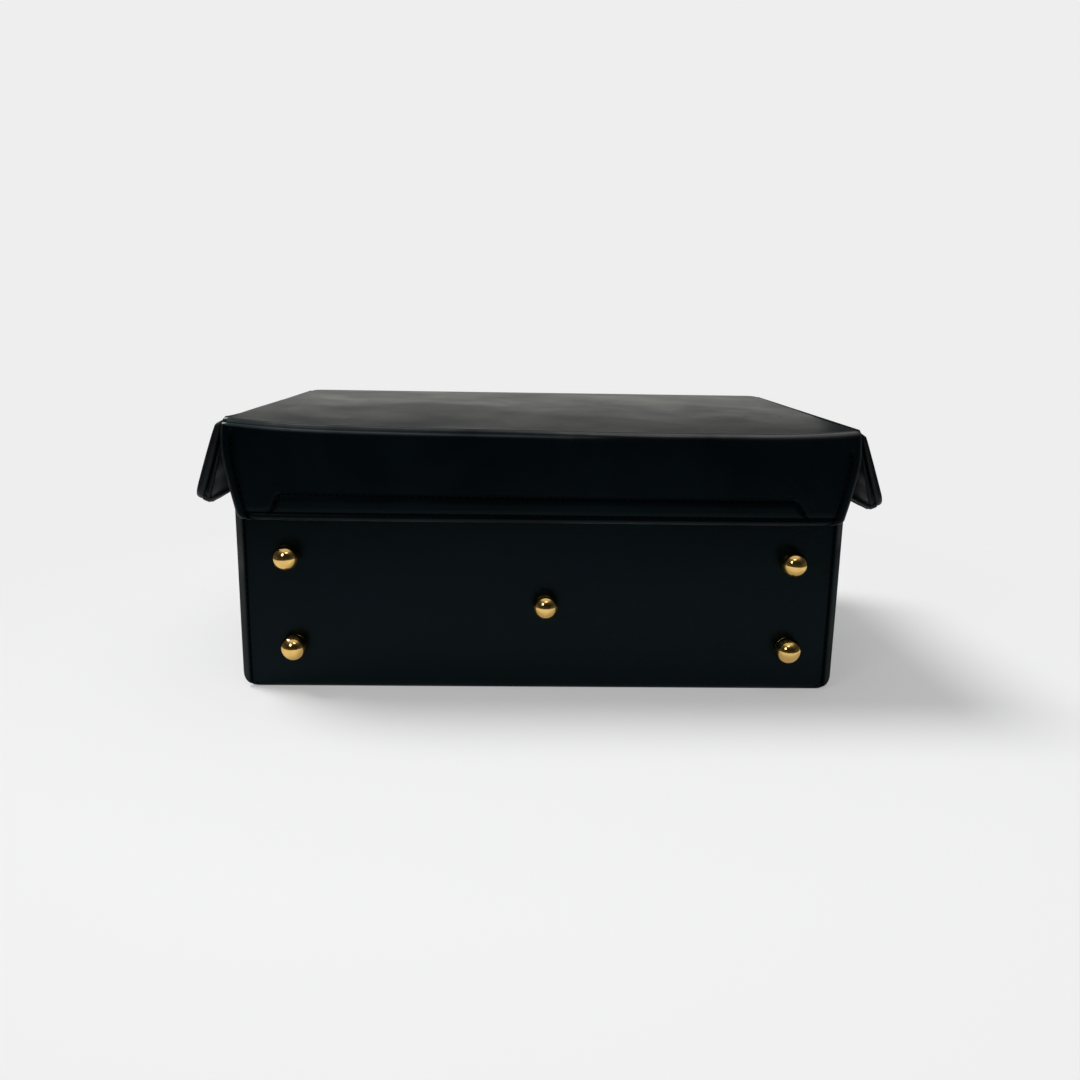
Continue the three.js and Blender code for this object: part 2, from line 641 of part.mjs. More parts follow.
/** The handle, which hangs down behind the body, with its lugs, pins and rivets. */
function addHandle() {
  for (const [side, end] of [[-1, 'left'], [1, 'right']]) {
    const x = (side * HANDLE_SPAN) / 2;
    add(part, `handle_lug_${end}`, lugGeometry(), GOLD).position.set(x, PIN_Y, HANDLE_PIN_Z);
    const pinLength = EYE_WIDTH + 2 * (GAP + EAR) + PIN_HEADS;
    const pin = rod(PIN_RADIUS, pinLength).rotateZ(Math.PI / 2);
    add(part, `handle_pin_${end}`, pin, GOLD).position.set(x, PIN_Y, HANDLE_PIN_Z);
    add(part, `handle_eye_${end}`, eyeGeometry(), GOLD).position.set(x, PIN_Y, HANDLE_PIN_Z);
  }
  add(part, 'handle_grip', gripGeometry(), CALF).position.set(0, PIN_Y, HANDLE_PIN_Z);
  RIVET_PLACES.forEach(([x, z], i) => {
    add(part, `handle_rivet_${i + 1}`, rivetGeometry(), GOLD).position.set(x, 0, z);
  });
}

addBodyLeather();
addBodyBoards();
addBodyLinings();
addRim();
addFeet();
addKeepers();
addLid();
addHinge();
addFlap();
addWing(-1, 'wing_left');
addWing(1, 'wing_right');
addHandle();

export default part;
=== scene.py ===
"""The finished look of a lidded leather box case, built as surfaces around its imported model."""

import json
import math

import bpy
import numpy as np
from mathutils import Matrix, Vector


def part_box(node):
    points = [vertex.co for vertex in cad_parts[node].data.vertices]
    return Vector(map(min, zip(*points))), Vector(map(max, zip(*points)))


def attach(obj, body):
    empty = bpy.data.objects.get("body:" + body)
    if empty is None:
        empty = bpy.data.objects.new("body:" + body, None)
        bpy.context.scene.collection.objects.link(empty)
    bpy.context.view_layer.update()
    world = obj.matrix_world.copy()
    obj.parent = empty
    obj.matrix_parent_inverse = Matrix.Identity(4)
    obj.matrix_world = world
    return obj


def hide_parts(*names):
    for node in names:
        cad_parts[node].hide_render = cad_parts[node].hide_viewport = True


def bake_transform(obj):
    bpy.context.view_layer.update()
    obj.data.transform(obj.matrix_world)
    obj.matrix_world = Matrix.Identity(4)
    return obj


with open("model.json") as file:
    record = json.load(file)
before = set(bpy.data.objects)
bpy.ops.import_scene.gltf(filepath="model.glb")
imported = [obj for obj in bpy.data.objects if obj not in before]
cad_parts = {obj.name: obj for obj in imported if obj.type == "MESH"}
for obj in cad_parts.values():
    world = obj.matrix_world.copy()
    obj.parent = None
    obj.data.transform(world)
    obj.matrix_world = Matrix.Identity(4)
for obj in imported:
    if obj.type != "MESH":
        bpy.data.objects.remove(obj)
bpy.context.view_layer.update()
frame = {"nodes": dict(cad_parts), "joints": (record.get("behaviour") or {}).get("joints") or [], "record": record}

bl_info = {
    "name": "Leather Box Case",
    "version": (1, 0, 0),
    "blender": (4, 5, 0),
    "location": "View3D > Sidebar > Leather Case",
    "description": "Builds a lidded leather box case around its packed frame",
    "category": "Add Mesh",
}

MM = 0.001


def low(node):
    """The lowest corner of a CAD node."""
    return np.array(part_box(node)[0])


def high(node):
    """The highest corner of a CAD node."""
    return np.array(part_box(node)[1])


def joint(name):
    """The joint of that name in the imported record."""
    return next(j for j in frame["joints"] if j["name"] == name)


# ------------------------------------------------------------------ places from the frame

HALF_WIDTH = high("front_panel")[0]
FRONT_Y = low("front_panel")[1]
BACK_Y = high("back_panel")[1]
MIDDLE_Y = (FRONT_Y + BACK_Y) / 2
WALL_TOP = high("front_panel")[2]
RIM_TOP = high("rim_front")[2]
LID_TOP = high("lid_leather")[2]
LID_UNDER = high("lid_lining")[2]
LID_BACK = low("hinge_upper_leaf")[1] - 0.3 * MM
CREASE_HALF = high("lid_leather")[0]
FLAP_Y = low("flap_leather")[1]
FLAP_FOOT = low("flap_leather")[2]
FLAP_WIDEST = high("flap_leather")[0]
FLAP_DROP = LID_TOP - FLAP_FOOT
BAND_FOOT_HALF = high("flap_band")[0]
BAND_HEIGHT = high("flap_band")[2] - FLAP_FOOT
FLAP_AXIS = np.array(joint("flap_crease")["pos_m"])
LID_AXIS = np.array(joint("lid_hinge")["pos_m"])
HANDLE_AXIS = np.array(joint("handle_swing")["pos_m"])


# ------------------------------------------------------------------ sizes the frame doesn't give

CORNER_RADIUS = 7 * MM       # lower corners of the body and of the wings
BODY_LEATHER = 1.35 * MM     # how deep the body's leather goes in from its true face
SPREAD = 0.8 * MM            # how far the body spreads at the left of the foot panel
SPREAD_START = 0.6           # share of the half width where that spread begins
SPREAD_DEPTH = 70 * MM       # and how far back it reaches
BAND_HEAD_HALF = 126 * MM    # half width of the flap's stitched band at its top
FOOT_HALF = 148 * MM         # half width of the flap at its foot
SIDE_SEAM = 4.6 * MM         # from the flap's side edge to its seam
FOOT_SEAM = 3.4 * MM         # from the flap's foot to its seam
BAND_SEAM = 0.9 * MM         # from the band's top edge to its seam
BAND_END_SEAM = 0.4 * MM     # from the band's slanting ends to their seams
BACK_PART = 170 * MM          # depth of the back part of the lid, whose rows are wide apart
WING_DROP = 40.2 * MM        # from a wing's crease to its foot
TAB_FACE = FRONT_Y - 0.8 * MM
GRIP_CORNER = 26 * MM        # how far the handle's two bends reach
GRIP_RADIUS = 5.05 * MM
FLOOR_RADIUS = 0.47
CLUSTER = 1.6 * MM           # half width of a close cluster of rows or columns at a seam
CLUSTER_PLACES = np.array([-0.8, -0.5, -0.3, -0.12, 0.12, 0.3, 0.5, 0.8])
EDGE_PLACES = np.array([0, 0.3, 0.7, 1.2, 1.8, 2.4]) * MM


# ------------------------------------------------------------------ what a user would change

class LeatherSettings(bpy.types.PropertyGroup):
    """Colours and shine of the leather, thread and lining."""

    calf: bpy.props.FloatVectorProperty(
        name="Calf", description="Colour of the polished calf", subtype="COLOR",
        default=(0.0005, 0.0022, 0.0035), min=0, max=1)
    side: bpy.props.FloatVectorProperty(
        name="Side calf", description="Colour of the duller calf on the sides", subtype="COLOR",
        default=(0.0030, 0.0042, 0.0052), min=0, max=1)
    # colour of edge rubbing, and also of the painted highlights on folds and edges
    worn_and_highlight: bpy.props.FloatVectorProperty(
        name="Worn edge", description="Colour where an edge is rubbed", subtype="COLOR",
        default=(0.032, 0.033, 0.033), min=0, max=1)
    thread: bpy.props.FloatVectorProperty(
        name="Thread", description="Colour of the sewing thread", subtype="COLOR",
        default=(0.0006, 0.0010, 0.0013), min=0, max=1)
    lining: bpy.props.FloatVectorProperty(
        name="Lining", description="Colour of the brushed lining", subtype="COLOR",
        default=(0.022, 0.019, 0.018), min=0, max=1)
    roughness: bpy.props.FloatProperty(
        name="Roughness", description="Roughness of the polished calf", subtype="FACTOR",
        default=0.33, min=0.05, max=1)
    grain: bpy.props.FloatProperty(
        name="Grain", description="Width of one cell of the grain", unit="LENGTH",
        default=0.9 * MM, min=0.1 * MM, max=5 * MM)


class SewingSettings(bpy.types.PropertyGroup):
    """The seams."""

    pitch: bpy.props.FloatProperty(
        name="Pitch", description="From one stitch to the next", unit="LENGTH",
        default=3.3 * MM, min=1 * MM, max=10 * MM)
    stitch: bpy.props.FloatProperty(
        name="Stitch", description="Length of one stitch", unit="LENGTH",
        default=2.5 * MM, min=0.5 * MM, max=9 * MM)
    width: bpy.props.FloatProperty(
        name="Thread width", description="Width of the thread", unit="LENGTH",
        default=0.95 * MM, min=0.2 * MM, max=2 * MM)
    margin: bpy.props.FloatProperty(
        name="Margin", description="From an edge to its seam", unit="LENGTH",
        default=4.0 * MM, min=1 * MM, max=10 * MM)
    groove: bpy.props.FloatProperty(
        name="Groove", description="Depth of the groove that a seam lies in", unit="LENGTH",
        default=0.55 * MM, min=0, max=1 * MM)


class ShapeSettings(bpy.types.PropertyGroup):
    """How far the leather leaves the flat."""

    sag: bpy.props.FloatProperty(
        name="Front sag", description="Drop of the lid's front edge at its middle",
        unit="LENGTH", default=3.1 * MM, min=0, max=4 * MM)
    lift: bpy.props.FloatProperty(
        name="Corner lift", description="Rise of the lid's left front corner", unit="LENGTH",
        default=1.2 * MM, min=0, max=3 * MM)
    ripple: bpy.props.FloatProperty(
        name="Ripple", description="Height of the low waves in the lid", unit="LENGTH",
        default=0.11 * MM, min=0, max=1 * MM)
    pillow: bpy.props.FloatProperty(
        name="Pillow", description="How far a covered panel swells at its middle",
        unit="LENGTH", default=0.4 * MM, min=0, max=2 * MM)


class MetalSettings(bpy.types.PropertyGroup):
    """Colours of the metal parts."""

    gold: bpy.props.FloatVectorProperty(
        name="Gold", description="Colour of the gold plate", subtype="COLOR",
        default=(0.86, 0.56, 0.18), min=0, max=1)
    gold_roughness: bpy.props.FloatProperty(
        name="Gold roughness", description="Roughness of the gold plate", subtype="FACTOR",
        default=0.09, min=0, max=1)
    steel: bpy.props.FloatVectorProperty(
        name="Steel", description="Colour of the hidden steel parts", subtype="COLOR",
        default=(0.42, 0.42, 0.43), min=0, max=1)


class StageSettings(bpy.types.PropertyGroup):
    """Camera, floor and light."""

    distance: bpy.props.FloatProperty(
        name="Distance", description="From the camera to the foot panel", unit="LENGTH",
        default=0.4658, min=0.1, max=5)
    height: bpy.props.FloatProperty(
        name="Height", description="Of the camera above the floor", unit="LENGTH",
        default=0.1823, min=0, max=3)
    offset: bpy.props.FloatProperty(
        name="Offset", description="Of the camera to the right", unit="LENGTH",
        default=-0.0143, min=-1, max=1)
    tilt: bpy.props.FloatProperty(
        name="Tilt", description="Of the camera below the horizon", unit="ROTATION",
        default=math.radians(12.64))
    heading: bpy.props.FloatProperty(
        name="Heading", description="Of the camera to the right of +Y", unit="ROTATION",
        default=math.radians(1.61))
    roll: bpy.props.FloatProperty(
        name="Roll", description="Of the camera about its line of sight", unit="ROTATION",
        default=math.radians(0.94))
    lens: bpy.props.FloatProperty(
        name="Lens", description="Focal length for a 36 mm sensor", subtype="DISTANCE_CAMERA",
        default=32.12, min=5, max=300)
    paper: bpy.props.FloatProperty(
        name="Backdrop", description="Brightness of floor and backdrop", default=0.855,
        min=0, max=1)
    key: bpy.props.FloatProperty(
        name="Key", description="Strength of the overhead soft light", default=2.8, min=0)
    window: bpy.props.FloatProperty(
        name="Window", description="Power of the small window light", default=0.7, min=0)
    strip: bpy.props.FloatProperty(
        name="Strip", description="Power of the low light behind the case", default=0.083, min=0)
    glow: bpy.props.FloatProperty(
        name="Glow", description="Share of the floor's brightness that is its own",
        subtype="FACTOR", default=0.38, min=0, max=1)
    albedo: bpy.props.FloatProperty(
        name="Floor", description="How much of the light the floor gives back",
        subtype="FACTOR", default=0.50, min=0, max=1)


class CaseSettings(bpy.types.PropertyGroup):
    """All settings of the case, by group."""

    leather: bpy.props.PointerProperty(type=LeatherSettings, name="Leather")
    sewing: bpy.props.PointerProperty(type=SewingSettings, name="Sewing")
    shape: bpy.props.PointerProperty(type=ShapeSettings, name="Shape")
    metal: bpy.props.PointerProperty(type=MetalSettings, name="Metal")
    stage: bpy.props.PointerProperty(type=StageSettings, name="Stage")


def settings():
    """The case settings of the current scene."""
    return bpy.context.scene.leather_case


# ------------------------------------------------------------------ surface tools

def smooth(t):
    """0 below 0, 1 above 1, and a smooth S between them."""
    t = np.clip(t, 0, 1)
    return t * t * (3 - 2 * t)


def ripple(x, y, height, seed):
    """Low waves: seven sine waves of random heading, 35 to 120 mm long, the long ones higher."""
    shortest, longest = 35 * MM, 120 * MM
    random = np.random.default_rng(seed)
    total = 0 * x
    for _ in range(7):
        heading, phase = random.uniform(0, 2 * math.pi, 2)
        length = random.uniform(shortest, longest)
        along = x * math.cos(heading) + y * math.sin(heading)
        total = total + np.sin(2 * math.pi * along / length + phase) * length / longest
    return height * total / 2


def spaced(start, end, step, marks=()):
    """Places from start to end about a step apart, with a close cluster round each mark."""
    even = np.linspace(start, end, max(2, round(abs(end - start) / step) + 1))
    inside = [mark for mark in marks if min(start, end) < mark < max(start, end)]
    for mark in inside:
        even = even[np.abs(even - mark) > CLUSTER]
    close = [mark + CLUSTER * CLUSTER_PLACES for mark in inside]
    places = np.unique(np.concatenate([even, *close]))
    places = places[(places >= min(start, end)) & (places <= max(start, end))]
    return places if end > start else places[::-1]


def edge_spacing(length, step, marks=()):
    """Distances from an edge, close at the edge itself and round each mark."""
    further = spaced(EDGE_PLACES[-1], length, step, marks)
    return np.unique(np.concatenate([EDGE_PLACES[:-1], further]))


def end_to_end(start, end, step, marks):
    """Places from start to end, close at both ends and round marks counted from each end."""
    half = edge_spacing((end - start) / 2, step, marks)
    return np.unique(np.concatenate([start + half, end - half]))


def thinned(places, least):
    """Rising places, without those that follow their neighbour by less than a least step."""
    return places[np.concatenate([[True], np.diff(places) > least])]


def closest(values, target):
    """The number of the value closest to a target."""
    return int(np.argmin(np.abs(values - target)))


def both_sides(half, distances):
    """Signed places from -half to half, at those distances from each side edge."""
    right = half - distances[distances < half - 1e-6]
    return np.concatenate([-right, right[::-1]])


def fit_columns(half_widths, columns, grip=0.035):
    """X for each row and column. A column keeps its distance from the side edge near the
    edge, and stays where it is further in than grip."""
    widest = np.max(np.abs(columns))
    follow = 1 - smooth((widest - np.abs(columns)) / grip)
    return columns[None, :] - np.sign(columns) * (widest - half_widths[:, None]) * follow


def rounded_foot(height_above, half, radius):
    """Half width of an outline with round lower corners, at a height above its foot."""
    e = np.clip(height_above, 0, radius)
    return half - radius + np.sqrt(np.maximum(radius**2 - (radius - e) ** 2, 0))


def groove(distance, depth, width=0.7 * MM):
    """A rounded groove: minus depth times a bell curve of the distance from its line."""
    return -depth * np.exp(-((distance / width) ** 2))


def dark_line(distance, width=1.0 * MM):
    """The shadow of a seam: 1 on its line, and a bell curve of the distance from it."""
    return np.exp(-((distance / width) ** 2))


def rolled_edge(distance, depth, width):
    """How far a face rolls back near its edge: depth at the edge, nothing past the width."""
    return depth * np.clip(1 - distance / width, 0, 1) ** 2


def grid_normals(points):
    """Unit normals of a grid: its row direction crossed with its column direction."""
    normal = np.cross(np.gradient(points, axis=0), np.gradient(points, axis=1))
    return normal / np.maximum(np.linalg.norm(normal, axis=2, keepdims=True), 1e-12)


def grid_quads(rows, columns, wrap_rows=False, wrap_columns=False):
    """Corner numbers of the faces of a grid, which may close on itself either way."""
    r = np.arange(rows if wrap_rows else rows - 1)
    c = np.arange(columns if wrap_columns else columns - 1)
    r, c = np.meshgrid(r, c, indexing="ij")
    r2, c2 = (r + 1) % rows, (c + 1) % columns
    corners = [r * columns + c, r * columns + c2, r2 * columns + c2, r2 * columns + c]
    return np.stack(corners, -1).reshape(-1, 4)


def facing_out(points, quads):
    """The same faces, turned round if they enclose a negative volume."""
    a, b, c, d = (points[quads[:, i]] for i in range(4))
    volume = np.einsum("ij,ij->i", a, np.cross(b, c)) + np.einsum("ij,ij->i", a, np.cross(c, d))
    return quads[:, ::-1] if volume.sum() < 0 else quads


def rim_of(rows, columns):
    """Row and column numbers once round the rim of a grid."""
    r = [np.zeros(columns - 1), np.arange(rows - 1), np.full(columns - 1, rows - 1)]
    c = [np.arange(columns - 1), np.full(rows - 1, columns - 1), np.arange(columns - 1, 0, -1)]
    r.append(np.arange(rows - 1, 0, -1))
    c.append(np.zeros(rows - 1))
    return np.concatenate(r).astype(int), np.concatenate(c).astype(int)


def plate(outer, inner, bulge=0.5, steps=6):
    """A closed plate between two grids of the same shape. Its edge is half an ellipse: the
    middle of the two rims, plus half their difference times a cosine, plus the direction
    out of the sheet times half the thickness, bulge and a sine. Returns points, faces and
    wear, which is 1 on the edge and fades over 1.3 mm into each face."""
    rows, columns = outer.shape[:2]
    r, c = rim_of(rows, columns)
    inward = (np.clip(r, 1, rows - 2), np.clip(c, 1, columns - 2))
    out = outer[r, c] - outer[inward]
    thickness = outer[r, c] - inner[r, c]
    across = thickness / np.linalg.norm(thickness, axis=1, keepdims=True)
    out = out - across * np.sum(out * across, axis=1, keepdims=True)
    out = out / np.maximum(np.linalg.norm(out, axis=1, keepdims=True), 1e-12)
    half = np.linalg.norm(thickness, axis=1, keepdims=True) / 2
    angle = math.pi * np.arange(1, steps)[:, None, None] / steps
    middle = (outer[r, c] + inner[r, c])[None] / 2
    edge = middle + thickness[None] / 2 * np.cos(angle) + (out * half * bulge)[None] * np.sin(angle)
    count = rows * columns
    points = np.concatenate([outer.reshape(-1, 3), inner.reshape(-1, 3), edge.reshape(-1, 3)])
    face = grid_quads(rows, columns)
    rim = r * columns + c
    bands = 2 * count + np.arange((steps - 1) * len(rim)).reshape(steps - 1, -1)
    ladder = np.concatenate([rim[None], bands, count + rim[None]])
    turn = np.roll(ladder, -1, axis=1)
    sides = np.stack([ladder[:-1], ladder[1:], turn[1:], turn[:-1]], -1).reshape(-1, 4)
    quads = np.concatenate([face, (face + count)[:, ::-1], sides])
    near = np.minimum.reduce([
        path_length(outer, 1), path_length(outer, 1, True),
        path_length(outer, 0), path_length(outer, 0, True)])
    worn_width = 1.3 * MM
    fade = (1 - smooth(near / worn_width)).ravel()
    wear = np.concatenate([fade, fade, np.ones(edge.size // 3)])
    return points, facing_out(points, quads), wear


def path_length(points, axis, backwards=False):
    """Distance walked along one axis of a grid, from its first or its last point."""
    walk = points[::-1, ::-1] if backwards else points
    steps = np.linalg.norm(np.diff(walk, axis=axis), axis=2)
    start = np.zeros_like(steps.take([0], axis=axis))
    total = np.concatenate([start, np.cumsum(steps, axis=axis)], axis=axis)
    return total[::-1, ::-1] if backwards else total


def capped(rings):
    """A tube through closed rings, with a point at the middle of each end. rings is
    (rows, points, 3). Faces at the ends are triangles, written with a corner twice."""
    rows, count = rings.shape[:2]
    ends = np.stack([rings[0].mean(0), rings[-1].mean(0)])
    points = np.concatenate([rings.reshape(-1, 3), ends])
    body = grid_quads(rows, count, wrap_columns=True)
    i = np.arange(count)
    j = (i + 1) % count
    first = np.stack([np.full(count, rows * count), j, i, i], -1)
    last = np.stack([np.full(count, rows * count + 1), i, j, j], -1)
    last[:, 1:] += (rows - 1) * count
    return points, facing_out(points, np.concatenate([body, first, last]))


def turned(profile, centre, axis, segments):
    """Closed rings of a profile of [radius, height] turned about an axis through centre."""
    angle = np.linspace(0, 2 * math.pi, segments, endpoint=False)
    radius, height = np.array(profile).T
    a = radius[:, None] * np.cos(angle)
    b = radius[:, None] * np.sin(angle)
    h = np.broadcast_to(height[:, None], a.shape)
    order = {"X": (h, a, b), "Y": (a, h, b), "Z": (a, b, h)}[axis]
    return np.stack(order, -1) + np.array(centre)


def rounded_ring(half_x, half_y, radius, z, centre_y=0.0):
    """Rings round rounded rectangles: each is a circle of radius with its four quarters
    moved apart to the corners. The first four arguments are arrays with one value a ring."""
    segments = 10
    angle = np.concatenate(
        [np.linspace(0, math.pi / 2, segments) + quarter * math.pi / 2 for quarter in range(4)])
    sign_x = np.sign(np.cos(angle.reshape(4, -1).mean(1))).repeat(segments)
    sign_y = np.sign(np.sin(angle.reshape(4, -1).mean(1))).repeat(segments)
    half_x, half_y, radius, z = np.broadcast_arrays(*np.atleast_1d(half_x, half_y, radius, z))
    half_x, half_y, radius, z = (v[:, None] for v in (half_x, half_y, radius, z))
    x = sign_x * (half_x - radius) + radius * np.cos(angle)
    y = sign_y * (half_y - radius) + radius * np.sin(angle) + centre_y
    return np.stack([x, y, np.broadcast_to(z, x.shape)], -1)


# ------------------------------------------------------------------ pieces

def make_piece(name, points, faces, material, body, replaces=(), wear=None, seam=None,
               blend=None):
    """Puts computed points and faces into a mesh at the origin, with its finish, its edge rubbing
    and painted highlights and its painted seam shadow (given for its first points), and lets it
    ride on a body; given a blend, it stays where it is and rides on no body."""
    mesh = bpy.data.meshes.new(name)
    listed = [list(dict.fromkeys(face)) for face in faces.tolist()]
    mesh.from_pydata(points.tolist(), [], listed)
    for key, given in (("wear", wear), ("seam", seam)):
        values = np.zeros(len(points), np.float32)
        if given is not None:
            values[: np.size(given)] = np.ravel(given)
        mesh.attributes.new(key, "FLOAT", "POINT").data.foreach_set("value", values)
    mesh.shade_smooth()
    if mesh.validate():
        raise RuntimeError(f"{name}: its mesh had faces that had to be mended")
    mesh.materials.append(material)
    piece = bpy.data.objects.new(name, mesh)
    bpy.context.scene.collection.objects.link(piece)
    if blend:
        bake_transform(piece)
    else:
        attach(piece, body)
    if replaces:
        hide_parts(*replaces)


def walked_along(line):
    """Distance walked along a line of points."""
    return np.concatenate([[0], np.cumsum(np.linalg.norm(np.diff(line, axis=0), axis=1))])


def resampled(line, walked, at):
    """The line's values at other distances along it."""
    return np.stack([np.interp(at, walked, line[:, k]) for k in range(line.shape[1])], -1)


def make_stitches(name, runs, body, seed):
    """Saddle stitches along seams. Each run is (points, normals) along one seam. A stitch is
    a long ellipsoid that leans a few degrees, sunk to half its height in the leather."""
    sewing = settings().sewing
    reach = 0.2 * MM
    lean, lean_spread, length_spread = 8.0, 2.5, 0.04
    flatness = 0.8
    random = np.random.default_rng(seed)
    centres, tangents, normals = [], [], []
    for line, up in runs:
        walked = walked_along(line)
        count = max(1, int(walked[-1] / sewing.pitch))
        at = (np.arange(count) + 0.5) * walked[-1] / count
        centres.append(resampled(line, walked, at))
        tangents.append(resampled(line, walked, at + reach) - resampled(line, walked, at - reach))
        normals.append(resampled(up, walked, at))
    centre, along, up = (np.concatenate(v) for v in (centres, tangents, normals))
    up = up / np.linalg.norm(up, axis=1, keepdims=True)
    along = along - up * np.sum(along * up, axis=1, keepdims=True)
    along = along / np.linalg.norm(along, axis=1, keepdims=True)
    across = np.cross(up, along)
    turn = np.radians(lean + random.normal(0, lean_spread, len(centre)))[:, None]
    along, across = (
        along * np.cos(turn) + across * np.sin(turn),
        across * np.cos(turn) - along * np.sin(turn),
    )
    phi = np.linspace(-1, 1, 6)[1:-1] * math.pi / 2 * 0.94
    angle = np.linspace(0, 2 * math.pi, 8, endpoint=False)
    length = sewing.stitch / 2 * (1 + random.normal(0, length_spread, len(centre)))[:, None, None]
    ends = np.sign(phi) * np.abs(np.sin(phi)) ** 0.8
    width = np.cos(phi)[None, :, None] ** 0.55 * sewing.width / 2
    x = ends[None, :, None] * length + 0 * angle
    y = width * np.cos(angle)
    z = width * np.sin(angle) * flatness
    solid = (
        centre[:, None, None]
        + along[:, None, None] * x[..., None]
        + across[:, None, None] * y[..., None]
        + up[:, None, None] * z[..., None]
    )
    points, faces = capped(solid[0])
    tips = np.stack([solid[:, 0].mean(1), solid[:, -1].mean(1)], 1)
    everything = np.concatenate([solid.reshape(len(centre), -1, 3), tips], 1)
    offsets = len(points) * np.arange(len(centre))[:, None, None]
    all_faces = (faces[None] + offsets).reshape(-1, 4)
    make_piece(name, everything.reshape(-1, 3), all_faces, finish("thread"), body)


def seam_on(grid, rows, columns):
    """The points and normals of a grid along lists of row and column numbers."""
    return grid[rows, columns], grid_normals(grid)[rows, columns]


# ------------------------------------------------------------------ finishes

def put(tree, kind, values=None, **options):
    """A new node with its options set, and each input given a value or joined to a socket."""
    made = tree.nodes.new(kind)
    for key, value in options.items():
        setattr(made, key, value)
    for key, value in (values or {}).items():
        if isinstance(value, bpy.types.NodeSocket):
            tree.links.new(value, made.inputs[key])
        else:
            made.inputs[key].default_value = value
    return made


def blank_material(name):
    """A material with its tree and its Principled shader."""
    material = bpy.data.materials.new(name)
    material.use_nodes = True
    tree = material.node_tree
    return material, tree, tree.nodes["Principled BSDF"]


def opaque(colour, share=1.0):
    """A colour, or a share of it, with full alpha."""
    return (*(share * c for c in colour), 1.0)


def noise(tree, where, scale, detail=3.0, roughness=0.5, distortion=0.0):
    """A cloudy pattern from 0 to 1, with this many waves to the metre."""
    values = {"Vector": where, "Scale": scale, "Detail": detail, "Roughness": roughness,
              "Distortion": distortion}
    return put(tree, "ShaderNodeTexNoise", values).outputs["Fac"]


def spread(tree, value, low_in, high_in, low_out, high_out):
    """Maps a value's range to another, and stops it at the ends."""
    values = {0: value, 1: low_in, 2: high_in, 3: low_out, 4: high_out}
    return put(tree, "ShaderNodeMapRange", values).outputs[0]


def mixed(tree, share, first, second):
    """A colour between two, by a share."""
    values = {0: share, 6: first, 7: second}
    return put(tree, "ShaderNodeMix", values, data_type="RGBA").outputs[2]


def joined(tree, operation, a, b):
    """Two values joined by a sum, a product or another operation."""
    return put(tree, "ShaderNodeMath", {0: a, 1: b}, operation=operation).outputs[0]


def bumped(tree, height, distance, strength=1.0, after=None):
    """A normal tilted by a height pattern, on top of another normal if one is given."""
    values = {"Height": height, "Distance": distance, "Strength": strength}
    if after is not None:
        values["Normal"] = after
    return put(tree, "ShaderNodeBump", values).outputs["Normal"]


def shader_links(tree, shader, **sockets):
    """Joins results to the shader's inputs, named in small letters with lines for spaces."""
    names = {"color": "Base Color", "roughness": "Roughness", "normal": "Normal",
             "specular": "Specular IOR Level", "tint": "Specular Tint"}
    for key, value in sockets.items():
        tree.links.new(value, shader.inputs[names[key]])


